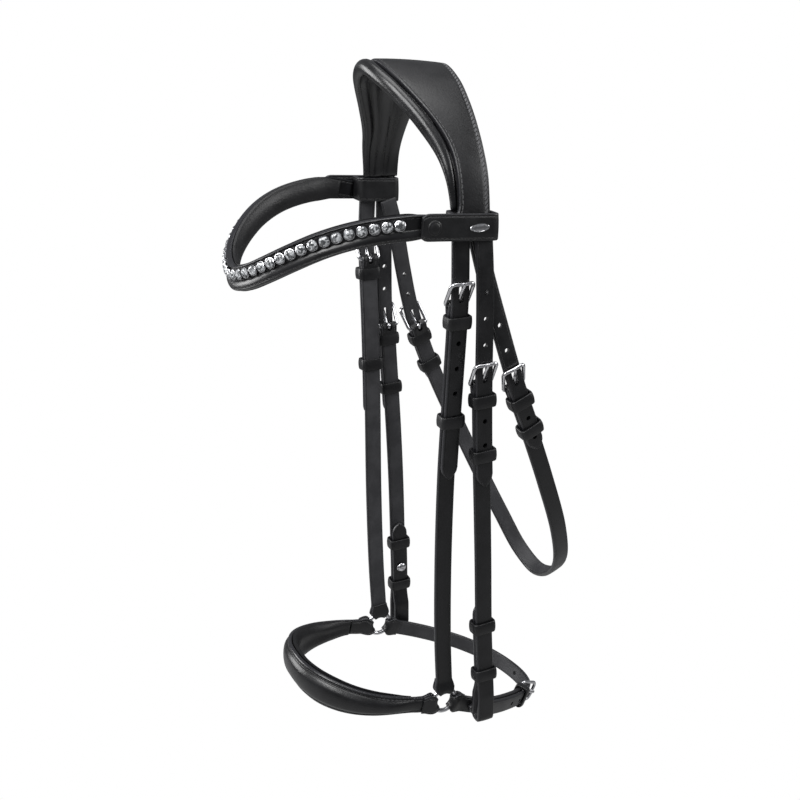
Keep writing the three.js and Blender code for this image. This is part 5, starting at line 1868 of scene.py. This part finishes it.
@dataclass
class BitCheek:
    """One side's cheekpiece: billet, buckled strap folded round the bit, keepers and hook stud."""

    side: Side
    buckle: float = -178.0
    upper_keepers: tuple[float, float] = (-188.0, -225.0)
    lower_keepers: tuple[float, float] = (-352.0, -388.0)
    tip: float = -247.0
    fold_tip: float = -334.0
    stud: float = -372.0
    loop_gap: float = 4.8
    loop_length: float = 20.0
    line: tuple[tuple[float, float, float], ...] = (
        (71.5, 20.6, SIZES.billet_top), (72.9, 21.2, -110), (73.6, 21.5, -135), (73.6, 21.7, -162),
        (73, 22.6, -190), (72, 24.4, -226), (71.6, 26.3, -262), (71.6, 28, -301), (72.2, 29.6, -352),
        (73.6, 30.8, -385), (75.8, 31, -406))

    def strap_points(self, route: Route, at: float) -> Route:
        """The strap's own route: round the bar, down, round the bit's loop and back up inside."""
        s, y = BAR_WRAP.path()
        down = np.linspace(at + BAR_WRAP.settle + 0.5, route.length - 1, 150)
        along = np.concatenate([at + s, down])
        out = np.concatenate([y, np.full(len(down), -SIZES.layer)])
        main = route.shifted(along, out)
        x_end, y_end, top = self.line[-1]
        outer = x_end - SIZES.layer
        reach = (self.loop_gap + SIZES.strap_thickness) / 2
        middle = outer - reach
        flat = 1.0
        turn = top - self.loop_length + reach + SIZES.strap_thickness / 2 - flat
        angle = np.linspace(0, -np.pi, 17)
        bend = np.stack([middle + np.sign(np.cos(angle)) * flat + (reach - flat) * np.cos(angle),
                         np.full(17, y_end), turn + (reach - flat) * np.sin(angle)], -1)
        heights = np.array([-394, -385, -372, -352, self.fold_tip])
        inner = np.array([route.shifted(np.array([route.at_height(h)]), np.array([-2 * SIZES.layer]))[0]
                          for h in heights])
        foot = np.array([[self.side.value * (middle - reach), y_end, top]])
        up = Route.through(np.vstack([foot, inner]), facing(self.side))
        back = up.at(np.linspace(0.4, up.length, 60))
        bend = bend * np.array([self.side.value, 1, 1])
        return Route(np.vstack([main, bend, back]), facing(self.side))

    def build(self, bench: Bench) -> None:
        """Adds every piece of the cheekpiece."""
        name, body = f"{self.side.word}_bit", f"{self.side.word}_bit_cheek_body"
        route = Route.through(sided(self.side, self.line), facing(self.side))
        at = route.at_height(self.buckle)
        billet = Billet(route, at, route.at_height(self.tip), (-3, -2, -1, 2, 3), start=-5.0)
        obj = billet.build(f"{name}_billet_strap", bench.finishes)
        bench.bend(obj, ("headpiece", body), (-86.0, -106.0), Slot.LEATHER, f"{name}_billet")
        way = self.strap_points(route, at)
        distance = stations(0.0, way.length, 1.6, 0.8)
        thin = SIZES.skived
        thick = (thin + (1 - thin) * ease(distance, 12, 22)) * round_ends(distance, 0, way.length, 0.8)
        full, neck = SIZES.strap_width / 2, SIZES.billet_width / 2
        half = neck + (full - neck) * ease(distance, 13, 20)
        half = np.minimum(half, tip_half(distance, full, way.length))
        section = Section.strap(SIZES.strap_thickness)
        obj = carried(way, distance, section, -half, half, 0.0, thick).build(
            f"{name}_cheek_strap", bench.finishes.chape, inside=bench.finishes.flesh)
        stud_at = route.at_height(self.stud)
        eyelet = slit(route, stud_at, (5.0, 3.4, 9.0), -2 * SIZES.layer)
        obj = cut_out(obj, [bar_slit(route, at), eyelet])
        bench.settle(obj, body, Slot.LEATHER, f"{name}_cheek")
        Buckle(route, at).build(bench, name, body, f"{name}_tongue_body")
        for number, height in enumerate(self.upper_keepers, 1):
            Keeper(route, route.at_height(height)).build(bench, f"{name}_upper_keeper_{number}", body)
        low = -2 * SIZES.layer - SIZES.strap_thickness / 2
        high = -SIZES.layer + SIZES.strap_thickness / 2
        for number, height in enumerate(self.lower_keepers, 1):
            keeper = Keeper(route, route.at_height(height), low, high)
            keeper.build(bench, f"{name}_lower_keeper_{number}", body)
        neck_length = SIZES.layer + 0.2
        head = [(3.4, 0.1), (3.7, 0.5), (3.5, 1.1), (2.7, 1.7), (1.5, 2.1), (0, 2.25)]
        profile = [(0, 0), (2.1, 0), (1.9, -neck_length)]
        profile += [(radius, -neck_length - depth) for radius, depth in head]
        made = turned(profile[::-1])
        out = -SIZES.layer - SIZES.strap_thickness / 2 - SIZES.clearance
        placed = Surface(route.placed(made.corners, stud_at, out), made.quads, made.tris, made.uv)
        obj = placed.outwards().build(f"{name}_hook_stud", bench.finishes.steel)
        bench.settle(obj, body, Slot.STEEL, f"{name}_stud")


# ------------------------------------------------------------------ throatlash


@dataclass
class Throatlash:
    """The long strap under the jowl, buckled to a short billet on either side."""

    buckle_at: float = 95.0
    keepers: tuple[float, float] = (10.0, 34.0)
    tip: float = 51.0
    body: str = "throatlash_body"
    points: tuple[tuple[float, float, float], ...] = (
        (63.2, 21.5, -91.6), (65, 26, -111), (69.5, 33.2, -140), (73.5, 40.6, -168),
        (74.2, 49, -192), (70.5, 60, -216), (65.5, 77, -256), (56, 96, -301), (38, 111, -338),
        (8, 121.5, -365), (-20, 125.5, -375), (-40, 121, -364), (-53, 110.5, -337), (-65, 97, -303),
        (-75, 79, -259), (-79, 63, -221), (-78, 52, -194), (-74.5, 42.5, -166),
        (-69.5, 34.5, -138), (-65, 27.5, -111), (-63.2, 21.5, -91.6))

    def build(self, bench: Bench) -> None:
        """Adds the long strap and both sides' billets, buckles and keepers."""
        route = Route.through(self.points, (0.0, 0.922, 0.387))
        way = strap_route(route, BAR_WRAP, self.buckle_at, BAR_WRAP, route.length - self.buckle_at,
                          -SIZES.layer)
        neck = SIZES.billet_width / 2
        strap = strap_body(way, SIZES.strap_width / 2, (9.0, 9.0), (neck, neck))
        obj = strap.build("throatlash_strap", bench.finishes.chape, inside=bench.finishes.flesh)
        sides = ((Side.NEAR, route), (Side.FAR, route.reversed()))
        holes = [bar_slit(line, self.buckle_at) for _, line in sides]
        bench.settle(cut_out(obj, holes), self.body, Slot.LEATHER, "throatlash")
        for side, line in sides:
            self._side(bench, side, line)

    def _side(self, bench: Bench, side: Side, line: Route) -> None:
        """Adds one side's billet, buckle and keepers."""
        name = f"{side.word}_throat"
        billet = Billet(line, self.buckle_at, self.buckle_at + self.tip, (-2, -1, 2, 3), start=-6.0)
        obj = billet.build(f"{name}_billet_strap", bench.finishes)
        bench.bend(obj, ("headpiece", self.body), (-87.0, -112.0), Slot.LEATHER, f"{name}_billet")
        Buckle(line, self.buckle_at).build(bench, name, self.body, f"{name}_tongue_body")
        for number, below in enumerate(self.keepers, 1):
            Keeper(line, self.buckle_at + below).build(bench, f"{name}_keeper_{number}", self.body)


# ------------------------------------------------------------------ studio


@dataclass
class Studio:
    """A pale floor, soft lamps and the camera."""

    camera_at: tuple[float, float, float] = (0.644434, -0.300766, 0.054852)
    down: float = 20.308
    azimuth: float = 65.0
    lens: float = 51.07

    def lamp(self, name: str, place: Sequence[float], aim: Sequence[float], size: float,
             power: float) -> None:
        """A soft square lamp at a place, aimed at a point."""
        data = bpy.data.lights.new(name, "AREA")
        data.shape = "RECTANGLE"
        data.size = size
        data.size_y = size
        data.energy = power
        obj = bpy.data.objects.new(name, data)
        bpy.context.scene.collection.objects.link(obj)
        obj.location = place
        obj.rotation_euler = (Vector(aim) - Vector(place)).to_track_quat("-Z", "Y").to_euler()

    def build(self) -> None:
        """Adds the floor, the backdrop light, the lamps and the camera."""
        scene = bpy.context.scene
        scene.view_settings.view_transform = "Standard"
        world = bpy.data.worlds.new("soft room")
        scene.world = world
        world.use_nodes = True
        self._room(world)
        self._floor()
        aim = (0.0, 0.0, -0.2)
        self.lamp("key", (0.55, -0.95, 0.75), aim, 0.8, 17.0)
        self.lamp("left", (-0.75, -1.1, 0.1), aim, 0.8, 14.0)
        self.lamp("top", (0.1, 0.1, 1.1), aim, 0.9, 9.0)
        self.lamp("rear", (0.5, 1.1, 0.3), aim, 0.6, 6.0)
        data = bpy.data.cameras.new("camera")
        data.sensor_width = 36.0
        data.lens = self.lens
        data.clip_start = 0.01
        camera = bpy.data.objects.new("camera", data)
        scene.collection.objects.link(camera)
        camera.location = self.camera_at
        camera.rotation_euler = (math.radians(90 - self.down), 0, math.radians(self.azimuth))
        scene.camera = camera

    @staticmethod
    def _room(world: bpy.types.World) -> None:
        """A dim soft room to be lit by, behind a white backdrop to be looked at."""
        g = Graph(world.node_tree)
        soft = world.node_tree.nodes["Background"]
        soft.inputs["Color"].default_value = (0.94, 0.96, 1.0, 1)
        soft.inputs["Strength"].default_value = 0.22
        white = g.node("ShaderNodeBackground")
        white.inputs["Color"].default_value = (1, 1, 1, 1)
        white.inputs["Strength"].default_value = 1.0
        both = g.node("ShaderNodeMixShader")
        g.join(g.node("ShaderNodeLightPath").outputs["Is Camera Ray"], both.inputs[0])
        g.join(soft.outputs["Background"], both.inputs[1])
        g.join(white.outputs["Background"], both.inputs[2])
        g.join(both.outputs["Shader"], world.node_tree.nodes["World Output"].inputs["Surface"])

    @staticmethod
    def _floor() -> None:
        """A wide pale floor well below the bridle, bright where the camera sees it."""
        material, g, bsdf = shader("pale floor")
        place = g.node("ShaderNodeTexCoord")
        mottle = g.node("ShaderNodeTexNoise")
        mottle.inputs["Scale"].default_value = 3.0
        g.join(place.outputs["Object"], mottle.inputs["Vector"])
        g.join(g.mix(mottle.outputs["Fac"], (0.34, 0.34, 0.34, 1), (0.38, 0.38, 0.38, 1)),
               bsdf.inputs["Base Color"])
        bsdf.inputs["Roughness"].default_value = 0.9
        glow = g.node("ShaderNodeEmission")
        glow.inputs["Color"].default_value = (1, 1, 1, 1)
        glow.inputs["Strength"].default_value = 1.0
        seen = g.node("ShaderNodeLightPath")
        both = g.node("ShaderNodeMixShader")
        g.join(seen.outputs["Is Camera Ray"], both.inputs[0])
        g.join(bsdf.outputs["BSDF"], both.inputs[1])
        g.join(glow.outputs["Emission"], both.inputs[2])
        target = material.node_tree.nodes["Material Output"]
        g.join(both.outputs["Shader"], target.inputs["Surface"])
        size, low = 40.0, -0.80
        mesh = bpy.data.meshes.new("floor")
        mesh.from_pydata([(-size, -size, low), (size, -size, low), (size, size, low),
                          (-size, size, low)], [], [(0, 1, 2, 3)])
        mesh.materials.append(material)
        floor = bpy.data.objects.new("floor", mesh)
        bpy.context.scene.collection.objects.link(floor)
        floor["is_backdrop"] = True


def main() -> None:
    """Builds the whole bridle and the studio."""
    logging.basicConfig(level=logging.INFO, format="%(message)s")
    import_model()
    cad = [list(corner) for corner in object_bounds()]
    bench = Bench(Finishes())
    parts = [
        Headpiece(), Browband(), NosebandCheek(Side.NEAR), NosebandCheek(Side.FAR),
        NosebandFront(), ChinStrap(), BitCheek(Side.NEAR), BitCheek(Side.FAR), Throatlash(),
    ]
    for part in parts:
        part.build(bench)
        log.info("%s: %d pieces so far", type(part).__name__, bench.count)
    Studio().build()
    looks = [list(corner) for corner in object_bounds()]


if __name__ == "__main__":
    main()
